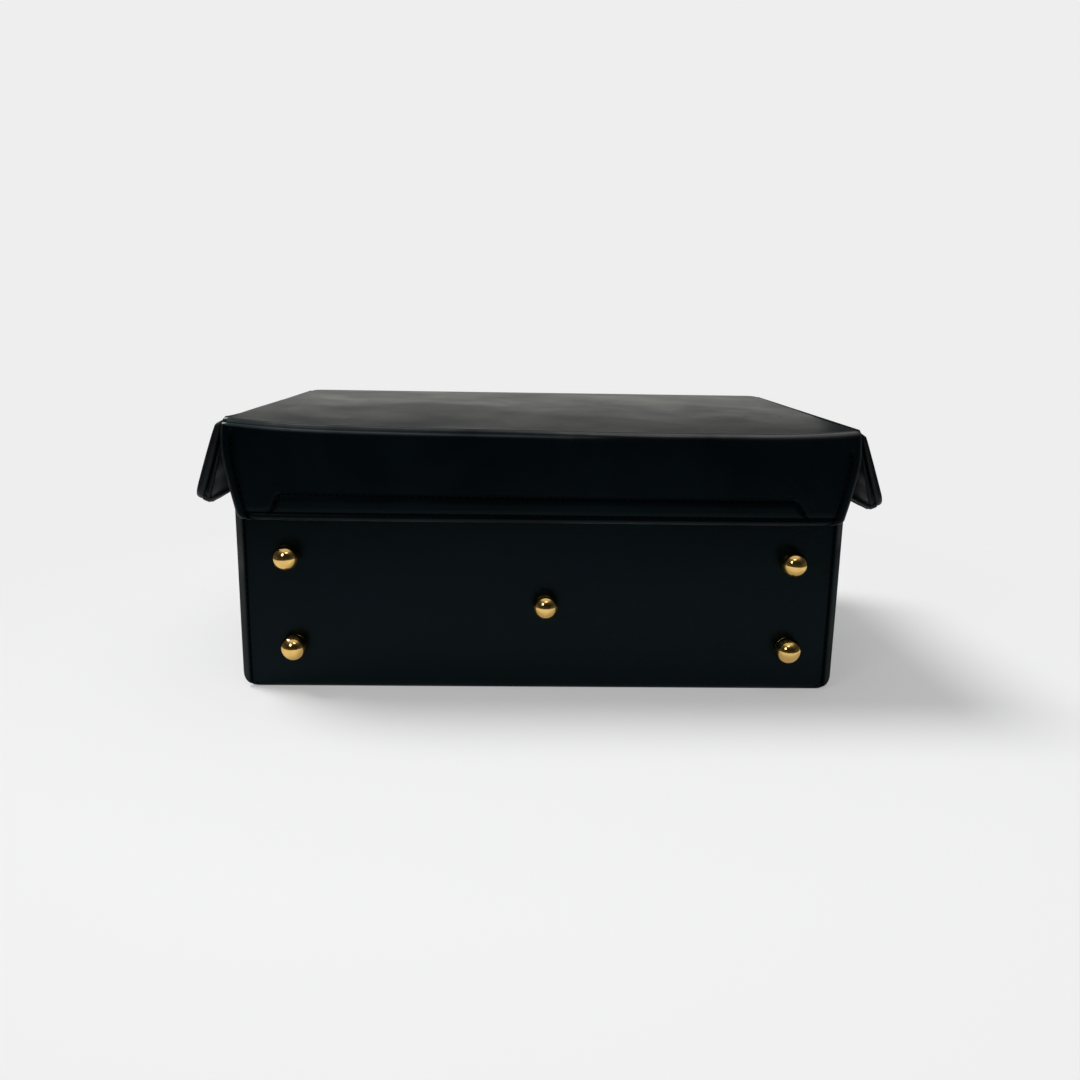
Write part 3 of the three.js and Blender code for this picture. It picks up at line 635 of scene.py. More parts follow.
def leather(name, colour, roughness, specular, grain_depth, tint):
    """Smooth calf: fine cells and pores in the grain, soft mottling in the shine, a few
    faint creases and scuffs, edge rubbing and painted highlights on folds and edges from one
    point attribute, and painted shade along the seams from another."""
    chosen = settings().leather
    worn_and_highlight, plain_white = opaque(chosen.worn_and_highlight), (1, 1, 1, 1)
    material, tree, shader = blank_material(name)
    where = put(tree, "ShaderNodeTexCoord").outputs["Object"]
    cells = put(tree, "ShaderNodeTexVoronoi", {"Vector": where, "Scale": 1 / chosen.grain},
                feature="F1").outputs["Distance"]
    pores = noise(tree, where, scale=520, detail=6, roughness=0.62)
    mottle = noise(tree, where, scale=22, detail=4, roughness=0.55, distortion=0.6)
    cloud = noise(tree, where, scale=7, detail=3, roughness=0.5, distortion=0.3)
    vein = noise(tree, where, scale=34, detail=3, roughness=0.55, distortion=1.4)
    off_middle = joined(tree, "ABSOLUTE", joined(tree, "SUBTRACT", vein, 0.5), 0)
    crease = spread(tree, off_middle, 0.0, 0.012, 1.0, 0.0)
    crease = joined(tree, "MULTIPLY", crease, spread(tree, cloud, 0.52, 0.66, 0.0, 1.0))
    speck = noise(tree, where, scale=140, detail=5, roughness=0.7, distortion=0.8)
    scuff = joined(tree, "MULTIPLY", spread(tree, speck, 0.66, 0.78, 0.0, 1.0),
                   spread(tree, mottle, 0.55, 0.7, 0.0, 1.0))
    # point attribute: edge rubbing together with painted highlights on folds and edges
    wear = put(tree, "ShaderNodeAttribute", attribute_name="wear").outputs["Fac"]
    # point attribute: painted shade along the seams
    seam = put(tree, "ShaderNodeAttribute", attribute_name="seam").outputs["Fac"]
    rubbed_and_highlight = joined(tree, "MULTIPLY", wear, spread(tree, mottle, 0.35, 0.65, 0.35, 1.0))
    tone = mixed(tree, spread(tree, mottle, 0.3, 0.7, 0.0, 1.0),
                 opaque(colour, 0.75), opaque(colour, 1.45))
    tone = mixed(tree, joined(tree, "MULTIPLY", scuff, 0.35), tone, worn_and_highlight)
    # lightened towards the edge colour by edge rubbing and by painted highlights
    tone = mixed(tree, rubbed_and_highlight, tone, worn_and_highlight)
    # painted seam shade: darkened to a fifth of the colour
    tone = mixed(tree, seam, tone, opaque(colour, 0.2))
    # shinier with edge rubbing and painted highlights, much duller in the painted seam shade
    gloss = joined(tree, "ADD", specular, joined(tree, "MULTIPLY", rubbed_and_highlight, 0.42))
    gloss = joined(tree, "MULTIPLY", gloss, spread(tree, seam, 0, 1, 1.0, 0.06))
    matt = spread(tree, mottle, 0.3, 0.7, roughness - 0.035, roughness + 0.05)
    for pattern, amount in ((crease, 0.08), (scuff, 0.12), (rubbed_and_highlight, -0.05)):
        matt = joined(tree, "ADD", matt, joined(tree, "MULTIPLY", pattern, amount))
    normal = bumped(tree, cells, 0.05 * MM, grain_depth)
    normal = bumped(tree, pores, 0.06 * MM, grain_depth, normal)
    normal = bumped(tree, crease, -0.10 * MM, 0.5, normal)
    shader_links(tree, shader, color=tone, roughness=matt, normal=normal, specular=gloss,
                 tint=mixed(tree, rubbed_and_highlight, opaque(tint), plain_white))
    return material


def thread_material():
    """Waxed thread: fine twisted strands, a little shine."""
    material, tree, shader = blank_material("waxed_thread")
    where = put(tree, "ShaderNodeTexCoord").outputs["Object"]
    strand = put(tree, "ShaderNodeTexWave", {"Vector": where, "Scale": 1400.0, "Distortion": 2.0},
                 bands_direction="DIAGONAL").outputs["Fac"]
    dark = settings().leather.thread
    shader_links(tree, shader,
                 color=mixed(tree, strand, opaque(dark, 0.7), opaque(dark, 1.6)),
                 roughness=spread(tree, strand, 0, 1, 0.45, 0.6),
                 normal=bumped(tree, strand, 0.08 * MM))
    shader.inputs["Specular IOR Level"].default_value = 0.05
    return material


def lining_material():
    """Brushed lining: a short nap that lies in soft patches."""
    material, tree, shader = blank_material("brushed_lining")
    where = put(tree, "ShaderNodeTexCoord").outputs["Object"]
    nap = noise(tree, where, scale=900, detail=4, roughness=0.7)
    patch = noise(tree, where, scale=30, detail=4, roughness=0.6, distortion=1.0)
    dark = settings().leather.lining
    tone = mixed(tree, spread(tree, patch, 0.35, 0.65, 0, 1), opaque(dark, 0.75), opaque(dark, 1.4))
    tone = mixed(tree, spread(tree, nap, 0.45, 0.8, 0, 0.6), tone, opaque(dark, 2.2))
    shader_links(tree, shader, color=tone, roughness=spread(tree, nap, 0.3, 0.7, 0.85, 1.0),
                 normal=bumped(tree, nap, 0.25 * MM, 0.6))
    shader.inputs["Sheen Weight"].default_value = 0.35
    shader.inputs["Sheen Roughness"].default_value = 0.5
    shader.inputs["Specular IOR Level"].default_value = 0.1
    return material


def board_material():
    """Grey-brown millboard: pressed fibres and flecks."""
    dark_fibre, pale_fibre, fleck_colour = (0.17, 0.135, 0.10), (0.33, 0.27, 0.20), (0.10, 0.08, 0.06)
    material, tree, shader = blank_material("millboard")
    where = put(tree, "ShaderNodeTexCoord").outputs["Object"]
    fibre = noise(tree, where, scale=420, detail=6, roughness=0.7, distortion=1.5)
    fleck = noise(tree, where, scale=160, detail=3, roughness=0.6)
    tone = mixed(tree, fibre, opaque(dark_fibre), opaque(pale_fibre))
    tone = mixed(tree, spread(tree, fleck, 0.6, 0.72, 0, 1), tone, opaque(fleck_colour))
    shader_links(tree, shader, color=tone, roughness=spread(tree, fibre, 0.3, 0.7, 0.8, 0.95),
                 normal=bumped(tree, fibre, 0.15 * MM))
    return material


def metal_material(name, colour, roughness, scratches):
    """Polished plate with hairline scratches, so many to the metre, and slight tarnish."""
    material, tree, shader = blank_material(name)
    where = put(tree, "ShaderNodeTexCoord").outputs["Object"]
    stretch = put(tree, "ShaderNodeMapping", {"Vector": where, "Rotation": (0.3, 0.5, 0.2),
                                              "Scale": (1, 1, 9)}).outputs["Vector"]
    hair = noise(tree, stretch, scale=scratches, detail=4, roughness=0.7)
    tarnish = noise(tree, where, scale=240, detail=3, roughness=0.5)
    tone = mixed(tree, spread(tree, tarnish, 0.35, 0.7, 0, 1), opaque(colour), opaque(colour, 0.86))
    matt = joined(tree, "ADD", spread(tree, hair, 0.4, 0.7, 0, 0.07),
                  spread(tree, tarnish, 0.3, 0.7, roughness - 0.02, roughness + 0.04))
    shader_links(tree, shader, color=tone, roughness=matt,
                 normal=bumped(tree, hair, 0.01 * MM, 0.25))
    shader.inputs["Metallic"].default_value = 1.0
    return material


def finish(name):
    """The material of that name, made the first time it is asked for."""
    made = bpy.data.materials.get("case_" + name)
    if made:
        return made
    chosen, metal = settings().leather, settings().metal
    calf_tint, side_tint = (0.70, 1.0, 1.06), (0.90, 1.0, 1.03)
    makers = {
        "calf": lambda: leather("calf", chosen.calf, chosen.roughness, 0.10, 0.35, calf_tint),
        "side": lambda: leather("side", chosen.side, chosen.roughness + 0.1, 0.14, 0.5, side_tint),
        "thread": thread_material,
        "lining": lining_material,
        "board": board_material,
        "gold": lambda: metal_material("gold", metal.gold, metal.gold_roughness, 700),
        "steel": lambda: metal_material("steel", metal.steel, 0.3, 400),
    }
    made = makers[name]()
    made.name = "case_" + name
    return made


# ------------------------------------------------------------------ body of the case

def left_spread(x, y):
    """How far the body stands out beyond its true width at the left of the foot panel: most
    at the left edge in front, fading over a fifth of the width and a third of the depth."""
    to_left = (-x / HALF_WIDTH - SPREAD_START) / (1 - SPREAD_START)
    return SPREAD * smooth(to_left) * (1 - smooth((y - FRONT_Y) / SPREAD_DEPTH))


def end_panel(outward, seed):
    """An end panel of the body: a standing plate with square top and round lower corners.
    Its face swells a little at the middle, rolls back at the side edges, and holds a seam
    groove along each side. Returns the outer grid, the two seam columns and the shadow of
    the seams."""
    sewing, shape = settings().sewing, settings().shape
    face = FRONT_Y if outward < 0 else BACK_Y
    foot = 0.25 * MM
    half = HALF_WIDTH - 0.05 * MM
    columns = both_sides(half, edge_spacing(half, 3.2 * MM, [sewing.margin]))
    heights = edge_spacing(WALL_TOP - foot, 3.0 * MM)
    round_corner = CORNER_RADIUS * np.linspace(0, 1, 9) ** 2
    heights = thinned(np.unique(np.concatenate([heights, round_corner])), 0.12 * MM)
    x = fit_columns(rounded_foot(heights, half, CORNER_RADIUS), columns, 20 * MM)
    z = np.broadcast_to(foot + heights[:, None], x.shape)
    side = half - np.abs(x)
    x = x - left_spread(x, face)
    out = shape.pillow * (1 - (x / half) ** 4) * (1 - (2 * z / WALL_TOP - 1) ** 4)
    out = out - rolled_edge(side, 0.75 * MM, 3.4 * MM) - rolled_edge(z - foot, 0.8 * MM, 3.0 * MM)
    out = out + groove(side - sewing.margin, sewing.groove) + ripple(x, z, 0.10 * MM, seed)
    grid = np.stack([x, face + outward * (out - 0.5 * MM), z], -1)
    seams = [closest(columns, sewing.margin - half), closest(columns, half - sewing.margin)]
    return grid, seams, dark_line(side - sewing.margin)


def build_end_panel(name, node, outward, seed):
    """One end panel with its two seams. Its side edges are lightened as a painted highlight, most towards the top.
    """
    grid, seams, shadow = end_panel(outward, seed)
    inner = grid.copy()
    inner[..., 1] = (FRONT_Y if outward < 0 else BACK_Y) - outward * BODY_LEATHER
    points, faces, wear = plate(grid, inner, bulge=0.35)
    side = HALF_WIDTH - np.abs(grid[..., 0])
    # painted highlight on the side edges, strongest at the top
    rubbed_and_highlight = 1.5 * (1 - smooth((side - 1.6 * MM) / (2.0 * MM)))
    rubbed_and_highlight = rubbed_and_highlight * (0.2 + 0.8 * grid[..., 2] / WALL_TOP)
    wear[: rubbed_and_highlight.size] = np.maximum(0.6 * wear[: rubbed_and_highlight.size], rubbed_and_highlight.ravel())
    make_piece(name, points, faces, finish("calf"), "case", [node], wear, shadow)
    rows = np.arange(2, grid.shape[0] - 2)
    runs = []
    for column in seams:
        line, normal = seam_on(grid, rows, column)
        runs.append((line, normal * np.sign(normal[:, 1:2] * outward)))
    make_stitches(name + "_stitches", runs, "case", seed)


def band_line():
    """The band's outline seen from the front: down the left wall, round a corner, across the
    underside, round the other corner and up. Returns X, Z, the outward normal of each point
    and the number of points on one wall."""
    wall = spaced(WALL_TOP - 0.5 * MM, CORNER_RADIUS, 4 * MM)
    turn = np.linspace(0, math.pi / 2, 10)[1:-1]
    reach = HALF_WIDTH - CORNER_RADIUS
    underside = spaced(-reach, reach, 5 * MM)
    left_x = np.concatenate([np.full(len(wall), -HALF_WIDTH), -reach - CORNER_RADIUS * np.cos(turn)])
    left_z = np.concatenate([wall, CORNER_RADIUS * (1 - np.sin(turn))])
    x = np.concatenate([left_x, underside, -left_x[::-1]])
    z = np.concatenate([left_z, np.zeros(len(underside)), left_z[::-1]])
    step = np.gradient(np.stack([x, z], -1), axis=0)
    normal = np.stack([step[:, 1], -step[:, 0]], -1)
    normal = normal / np.linalg.norm(normal, axis=1, keepdims=True)
    normal[np.abs(x) > HALF_WIDTH - 1e-6] *= [1, 0]
    return x[:, None], z[:, None], normal, len(wall)


def build_body_band():
    """The band: its U-shaped line carried along Y. Its walls swell slightly, and grooves run
    beside both ends."""
    sewing, shape = settings().sewing, settings().shape
    y0, y1 = low("body_band")[1], high("body_band")[1]
    ys = thinned(end_to_end(y0, y1, 4 * MM, [sewing.margin]), 0.05 * MM)
    x, z, normal, wall = band_line()
    on_wall = smooth((z - 2 * MM) / (10 * MM))
    end = np.minimum(ys - y0, y1 - ys)[None, :]
    swell = 1.4 * shape.pillow * (1 - ((2 * ys[None] - (y1 + y0)) / (y1 - y0)) ** 4)
    swell = swell * (1 - (2 * z / WALL_TOP - 1) ** 4) * on_wall
    out = swell - 0.1 * MM + ripple(ys[None], z, 0.10 * MM, 4)
    out = on_wall * (out + groove(end - sewing.margin, sewing.groove))
    grid = np.empty((len(x), len(ys), 3))
    grid[..., 0] = x + normal[:, :1] * out - left_spread(x, ys[None]) * on_wall
    grid[..., 1] = ys[None]
    grid[..., 2] = z + normal[:, 1:] * out
    inner = grid.copy()
    inner[..., 0] = x - normal[:, :1] * BODY_LEATHER
    inner[..., 2] = z - normal[:, 1:] * BODY_LEATHER
    points, faces, wear = plate(grid, inner, bulge=0.2)
    make_piece("body_band_leather", points, faces, finish("side"), "case",
               ["body_band"], wear * 0.6, on_wall * dark_line(end - sewing.margin))
    rows = np.arange(1, wall)
    runs = []
    for y in (y0 + sewing.margin, y1 - sewing.margin):
        column = closest(ys, y)
        for picked in (rows, len(x) - 1 - rows):
            outward = np.sign(grid[picked, column, :1]) * np.array([[1.0, 0.0, 0.0]])
            runs.append((grid[picked, column], outward))
    make_stitches("body_band_stitches", runs, "case", 5)


def build_rim():
    """The rim binding: a low arch carried once round the top of the walls. Each ring of the
    arch runs between the outer and the inner rounded rectangle."""
    setback, overlap = 0.3 * MM, 0.1 * MM
    outer_radius, inner_radius, under_radius = 2.5 * MM, 1.5 * MM, 2.0 * MM
    share = np.linspace(0, 1, 9)
    outer_x, inner_x = HALF_WIDTH - setback, -high("rim_left")[0] + overlap
    outer_y, inner_y = (BACK_Y - FRONT_Y) / 2 - setback, MIDDLE_Y - high("rim_front")[1] + overlap
    base = WALL_TOP + overlap
    half_x = outer_x + (inner_x - outer_x) * share
    half_y = outer_y + (inner_y - outer_y) * share
    radius = outer_radius + (inner_radius - outer_radius) * share
    z = base + (RIM_TOP - base) * np.sin(math.pi * share) ** 0.5
    over = rounded_ring(half_x, half_y, radius, z, MIDDLE_Y)
    under = rounded_ring(half_x[1:-1][::-1], half_y[1:-1][::-1], under_radius, base, MIDDLE_Y)
    rings = np.concatenate([over, under])
    points = rings.reshape(-1, 3)
    faces = facing_out(points, grid_quads(*rings.shape[:2], True, True))
    make_piece("rim_binding", points, faces, finish("side"), "case",
               ["rim_front", "rim_back", "rim_left", "rim_right"], np.full(len(points), 0.25))


def build_case_lining():
    """The lining of the case: a thin tub. Its rings go from the middle of the floor out,
    round a small fillet and up the inside of the walls, then back down their outside."""
    fillet, corner = 3 * MM, 4 * MM
    inside_x = -high("left_lining")[0]
    inside_y = MIDDLE_Y - high("front_lining")[1]
    cloth = high("front_lining")[1] - low("front_lining")[1]
    floor = high("floor_lining")[2]
    turn = np.linspace(0, math.pi / 2, 6)
    share = np.linspace(0.02, 1, 26)
    climb = spaced(floor + fillet, WALL_TOP - 0.4 * MM, 5 * MM)
    reach_x, reach_y = (
        np.concatenate([share * (inside - fillet), inside - fillet * (1 - np.sin(turn)),
                        np.full(len(climb), inside)])
        for inside in (inside_x, inside_y))
    z = np.concatenate([np.full(len(share), floor), floor + fillet * (1 - np.cos(turn)), climb])
    radius = np.minimum(corner, np.minimum(reach_x, reach_y) * 0.9)
    inner = rounded_ring(reach_x, reach_y, radius, z, MIDDLE_Y)
    puff = ripple(inner[..., 0] + inner[..., 2], inner[..., 1] - inner[..., 2], 0.12 * MM, 8)
    inner[..., 2] += np.where(z[:, None] < floor + 1e-6, np.abs(puff), 0)
    outer = rounded_ring(reach_x[::-1] + cloth, reach_y[::-1] + cloth, radius[::-1] + cloth,
                         np.maximum(z[::-1] - cloth, low("floor_lining")[2]), MIDDLE_Y)
    points, faces = capped(np.concatenate([inner, outer]))
    nodes = [f"{side}_lining" for side in ("front", "back", "left", "right", "floor")]
    make_piece("case_lining", points, faces, finish("lining"), "case", nodes)


def build_feet():
    """Ball feet: a profile turned about Y. The ball is a circle that ends on a thin rounded
    collar against the panel, and a plain shank goes on through the wall."""
    face = FRONT_Y - 0.15 * MM
    collar_front = face - 0.5 * MM
    collar = np.array([[0.25, -0.44], [0.38, -0.3], [0.38, -0.12], [0.2, 0]]) * MM
    shank = 1.4 * MM
    for number in range(1, 6):
        node = f"foot_{number}"
        centre = (low(node) + high(node)) / 2
        radius = (high(node)[0] - low(node)[0]) / 2
        middle = low(node)[1] + radius
        seat = math.acos((collar_front - middle) / radius)
        angle = np.linspace(0.003, math.pi - seat, 34)
        ball = np.stack([radius * np.sin(angle), middle - radius * np.cos(angle)], -1)
        profile = [*ball, *(collar + [radius * math.sin(seat), face]),
                   [shank, face + 0.02 * MM], [shank, high(node)[1]]]
        points, faces = capped(turned(profile, (centre[0], 0, centre[2]), "Y", 56))
        make_piece(f"ball_{node}", points, faces, finish("gold"), "case", [node])


# ------------------------------------------------------------------ lid and flap

def lid_rows():
    """Distances along the line that runs from the lid's back edge to the flap's foot, before
    the crease (negative) and after it (positive): close at both ends, round the seams and,
    most of all, through the crease."""
    sewing = settings().sewing
    depth = LID_BACK - FLAP_Y
    far = edge_spacing(BACK_PART, 3.6 * MM, [sewing.margin]) - depth
    near = spaced(BACK_PART - depth + 2 * MM, -6 * MM, 3.0 * MM)
    crease = np.linspace(-5.5, 8.5, 48) * MM
    on_lid = np.unique(np.concatenate([far[far < near[0] - 1 * MM], near, crease]))
    from_foot = edge_spacing(FLAP_DROP - 9.5 * MM, 2.2 * MM, [FOOT_SEAM, BAND_HEIGHT])
    return np.concatenate([on_lid, (FLAP_DROP - from_foot)[::-1]])


def bent_line(s, double):
    """Y and Z of the lid and flap's line: small steps at a turning angle, added up. The turn
    is one soft bend on the right, and where double is 1 two bends with a flat between."""
    turn = 0.9 * smooth((s + 2.8 * MM - 0.8 * MM * double) / (5.2 * MM - 1.9 * MM * double))
    turn = turn + 0.1 * smooth((s - 1.0 * MM - 1.6 * MM * double) / (2.6 * MM))
    dent = 0.55 * double * dark_line(s - 2.3 * MM, 0.75 * MM)
    angle = (turn - dent) * math.pi / 2
    middle = (angle[1:] + angle[:-1]) / 2
    step = np.diff(s, axis=0)
    first = np.zeros((1, s.shape[1]))
    y = np.concatenate([first, np.cumsum(-np.cos(middle) * step, 0)])
    z = np.concatenate([first, np.cumsum(-np.sin(middle) * step, 0)]) + LID_TOP
    y = y - y[-1] + FLAP_Y
    y = y + (LID_BACK - y[:1]) * np.clip(s / s[0], 0, 1)
    z = z + (FLAP_FOOT - z[-1:]) * np.clip(s / FLAP_DROP, 0, 1)
    return y, z


def lid_half_widths(s):
    """Half widths of the lid and flap: the lid's with round back corners, then the flap's,
    which bow out to the widest place and in again to the foot."""
    waist = 0.33 * FLAP_DROP
    bowed = np.sin(math.pi * np.clip(s / (2 * waist), 0, 1) ** 0.8)
    upper = CREASE_HALF + (FLAP_WIDEST - CREASE_HALF) * bowed
    lower = np.clip((s - waist) / (FLAP_DROP - waist), 0, 1)
    half = np.where(s < waist, upper, FLAP_WIDEST - (FLAP_WIDEST - FOOT_HALF) * lower**1.25)
    half = np.where(s < 0, rounded_foot(s - s[0], CREASE_HALF, 5 * MM), half)
    return rounded_foot(FLAP_DROP - s, half, 3 * MM) - 0.7 * MM


def sagged(x, z, s):
    """Z of the lid and flap with the front of the lid sagging between its corners, its left
    corner lifted and its right corner dropped. It fades towards the back and the foot."""
    shape = settings().shape
    right_drop = 1.2 * MM
    on_lid = s < 0
    down = np.clip(s / FLAP_DROP, 0, 1)
    back = np.maximum(-s, 0)
    across = x / CREASE_HALF
    sag = (shape.lift + shape.sag) * np.clip(1 - np.abs(across) ** 4.5, 0, 1)
    reach = np.where(on_lid, np.exp(-((back / (62 * MM)) ** 1.3)), 1 - down)
    twist = shape.lift * (1 - np.clip(0.5 + across, 0, 1.2))
    twist = twist - right_drop * smooth((across - 0.55) / 0.45)
    return z - sag * reach + twist * np.where(on_lid, 1 - back / back.max(), 1 - down)


def band_half_width(x, from_foot):
    """Half width of the flap's stitched band at a height above the flap's foot. Its ends
    slant, and its head is a little narrower on the right."""
    foot = np.where(x < 0, BAND_FOOT_HALF + 1 * MM, BAND_FOOT_HALF - 1 * MM)
    head = np.where(x < 0, BAND_HEAD_HALF + 1.2 * MM, BAND_HEAD_HALF - 3.4 * MM)
    return foot + (head - foot) * np.clip(from_foot / BAND_HEIGHT, 0, 1) ** 1.3


def flap_relief(x, edge, from_foot, slant):
    """How far the flap's surface stands out: the raised band, the rolled foot and the seam
    grooves. Returns it with the shadow of the seams."""
    depth = settings().sewing.groove
    raised = smooth((BAND_HEIGHT + 0.5 * MM - from_foot) / (1.3 * MM))
    raised = raised * smooth((slant + 0.6 * MM - np.abs(x)) / (1.4 * MM)) * (from_foot > 0)
    below_crease = FLAP_DROP - np.where(x < 0, 4 * MM, 8 * MM) - from_foot
    on_side = smooth(below_crease / (3 * MM))
    on_foot = 1.0 * (edge > SIDE_SEAM - 1 * MM)
    on_head = smooth((slant - np.abs(x)) / (1.5 * MM))
    on_end = smooth((BAND_HEIGHT - from_foot) / (1 * MM)) * smooth((from_foot - 3 * MM) / MM)
    lines = (
        (edge - SIDE_SEAM, on_side, 1.0, 0.7 * MM, 1.0 * MM),
        (from_foot - FOOT_SEAM, on_foot, 1.0, 0.7 * MM, 1.0 * MM),
        (from_foot - BAND_HEIGHT + BAND_SEAM, on_head, 1.3, 0.7 * MM, 1.1 * MM),
        (np.abs(x) - slant + BAND_END_SEAM, on_end, 1.1, 0.9 * MM, 1.2 * MM),
    )
    out = 0.45 * MM * raised - rolled_edge(from_foot, 0.5 * MM, 1.5 * MM)
    shadow = np.zeros_like(x)
    for distance, where, deeper, width, shadow_width in lines:
        out = out + groove(distance, depth * deeper, width) * where
        shadow = np.maximum(shadow, dark_line(distance, shadow_width) * where)
    return out, shadow


def lid_thickness(s):
    """Thickness of the lid and flap: padded on the lid, thin over the crease, and growing
    again on the flap."""
    thin = 3.5 * MM - 1.1 * MM * smooth((s + 9 * MM) / (7 * MM))
    padding = (LID_TOP - LID_UNDER - 4.1 * MM) * smooth((-s - 8 * MM) / (40 * MM))
    on_flap = 2.4 * MM + 0.35 * MM * smooth((s - 8 * MM) / (6 * MM))
    return np.where(s > 8 * MM, on_flap, thin + padding)


def build_lid():
    """The lid and flap in one: a line from the back edge over two close creases to the
    flap's foot, at each place across. The front of the lid sags between its corners, the
    flap's sides bow, and the flap carries seam grooves and the raised stitched band."""
    shape = settings().shape
    s = lid_rows()
    ends = FLAP_WIDEST - np.array([123, 125.5, 128, 130.5, 133]) * MM
    columns = both_sides(FLAP_WIDEST, edge_spacing(FLAP_WIDEST, 2.9 * MM, [SIDE_SEAM, *ends]))
    double = 1 - smooth((columns / FLAP_WIDEST + 0.15) / 0.55)
    s_grid = np.broadcast_to(s[:, None], (len(s), len(columns)))
    half = lid_half_widths(s)
    x = fit_columns(half, columns)
    edge = half[:, None] - np.abs(x)
    y, z = bent_line(s_grid, double)
    z = sagged(x, z, s_grid)
    on_lid = s_grid < 0
    from_foot = FLAP_DROP - s_grid
    slant = band_half_width(x, from_foot)
    out = np.where(on_lid, ripple(x, y, shape.ripple, 2), ripple(x, z, 0.12 * MM, 3))
    out = out * smooth((s_grid - s[0]) / (12 * MM))
    out = out - rolled_edge(edge, np.where(on_lid, 0.7 * MM, 0.55 * MM), 2.6 * MM)
    relief, shadow = flap_relief(x, edge, from_foot, slant)
    base = np.stack([x, y, z], -1)
    normal = grid_normals(base)
    normal = normal * np.sign(normal[len(s) // 3, len(columns) // 2, 2])
    grid = base + normal * (out + relief)[..., None]
    inner = base - normal * lid_thickness(s_grid)[..., None]
    above_lining = np.maximum(inner[..., 2], LID_UNDER + 0.15 * MM)
    above_lining = np.minimum(above_lining, grid[..., 2] - 0.5 * MM)
    inner[..., 2] = np.where(s_grid < -3 * MM, above_lining, inner[..., 2])
    points, faces, wear = plate(grid, inner, bulge=0.5)
    wear = wear * 0.8
    # painted highlight along the lid's front fold, strongest on the right where the fold is single, and a weaker
    # one on the second fold
    first_fold_highlight = dark_line(s_grid + 0.2 * MM, 1.5 * MM) * (2.4 - 1.5 * double)
    second_fold_highlight = dark_line(s_grid - 3.0 * MM, 0.8 * MM) * 0.5 * double
    fold_highlights = first_fold_highlight + second_fold_highlight
    wear[: fold_highlights.size] = np.maximum(wear[: fold_highlights.size], fold_highlights.ravel())
    start = (0, FLAP_AXIS[1] + 3.2 * MM, FLAP_AXIS[2] + 1.2 * MM)
    end = (0, FLAP_AXIS[1] + 0.2 * MM, FLAP_AXIS[2] - 3.4 * MM)
    make_piece("lid_and_flap_leather", points, faces, finish("calf"), "lid",
               ["lid_leather", "lid_board", "flap_leather", "flap_board", "flap_band"],
               wear, shadow, ("front_flap", start, end))
    sew_flap(grid, s, columns, slant)


def sew_flap(grid, s, columns, slant):
    """The flap's seams: down both sides, along the foot, and round the stitched band."""
    left_start, right_start = 5.5 * MM, 11 * MM
    normal = grid_normals(grid)
    normal = normal * np.sign(-normal[..., 1:2])
    from_foot = FLAP_DROP - s
    above_foot = from_foot > FOOT_SEAM - 0.3 * MM
    foot_row = closest(from_foot, FOOT_SEAM)
    band_row = closest(from_foot, BAND_HEIGHT - BAND_SEAM)
    left = closest(columns + FLAP_WIDEST, SIDE_SEAM)
    right = len(columns) - 1 - left
    inside = np.arange(left + 2, right - 1)
    picks = [(np.nonzero((s > start) & above_foot)[0], column)
             for column, start in ((left, left_start), (right, right_start))]
    picks.append((foot_row, inside))
    head = np.abs(grid[band_row, :, 0]) < slant[band_row] - 1.5 * MM
    picks.append((band_row, np.nonzero(head)[0]))
    rows = np.arange(band_row, foot_row - 2)
    for sign in (-1, 1):
        reach = slant[rows, 0 if sign < 0 else -1] - BAND_END_SEAM
        picks.append((rows, np.argmin(np.abs(grid[rows, :, 0] - sign * reach[:, None]), axis=1)))
    runs = [(grid[row, column], normal[row, column]) for row, column in picks]
    make_stitches("flap_stitches", runs, "front_flap", 11)


def build_lid_lining():
    """The lid's lining: a level sheet under the lid with a soft edge and a hem groove."""
    margin = 3.0 * MM
    lo, hi = low("lid_lining"), high("lid_lining")
    ys = end_to_end(lo[1], hi[1], 5 * MM, [margin])
    columns = both_sides(hi[0], edge_spacing(hi[0], 5 * MM, [margin]))
    x, y = np.meshgrid(columns, ys, indexing="xy")
    edge = np.minimum(hi[0] - np.abs(x), np.minimum(y - lo[1], hi[1] - y))
    out = groove(edge - margin, 0.2 * MM) + ripple(x, y, 0.06 * MM, 21)
    outer = np.stack([x, y, lo[2] - out], -1)
    inner = np.stack([x, y, np.full_like(x, hi[2])], -1)
    points, faces, _ = plate(outer, inner, bulge=0.6)
    make_piece("lid_inner_lining", points, faces, finish("lining"), "lid",
               ["lid_lining"])


def build_flap_lining():
    """The flap's lining: a standing sheet behind the flap, whose sides follow the flap's bow,
    with round lower corners and a groove along its foot."""
    margin = 3.0 * MM
    lo, hi = low("flap_lining"), high("flap_lining")
    heights = edge_spacing(hi[2] - lo[2] - 6 * MM, 2.5 * MM, [margin])
    bowed = np.sin(math.pi * np.clip(heights / (60 * MM), 0, 1))
    half = rounded_foot(heights, FOOT_HALF - 2 * MM + 4.5 * MM * bowed, 3 * MM)
    columns = both_sides(half.max(), edge_spacing(half.max(), 5 * MM, [margin]))
    x = fit_columns(half, columns)
    z = np.broadcast_to(lo[2] + 1.2 * MM + heights[:, None], x.shape)
    out = ripple(x, z, 0.05 * MM, 22) + groove(heights[:, None] - margin, 0.15 * MM)
    outer = np.stack([x, hi[1] + out - 0.2 * MM, z], -1)
    inner = np.stack([x, np.full_like(x, lo[1]) - 0.2 * MM, z], -1)
    points, faces, _ = plate(outer, inner, bulge=0.6)
    make_piece("flap_inner_lining", points, faces, finish("lining"), "front_flap",
               ["flap_lining"])


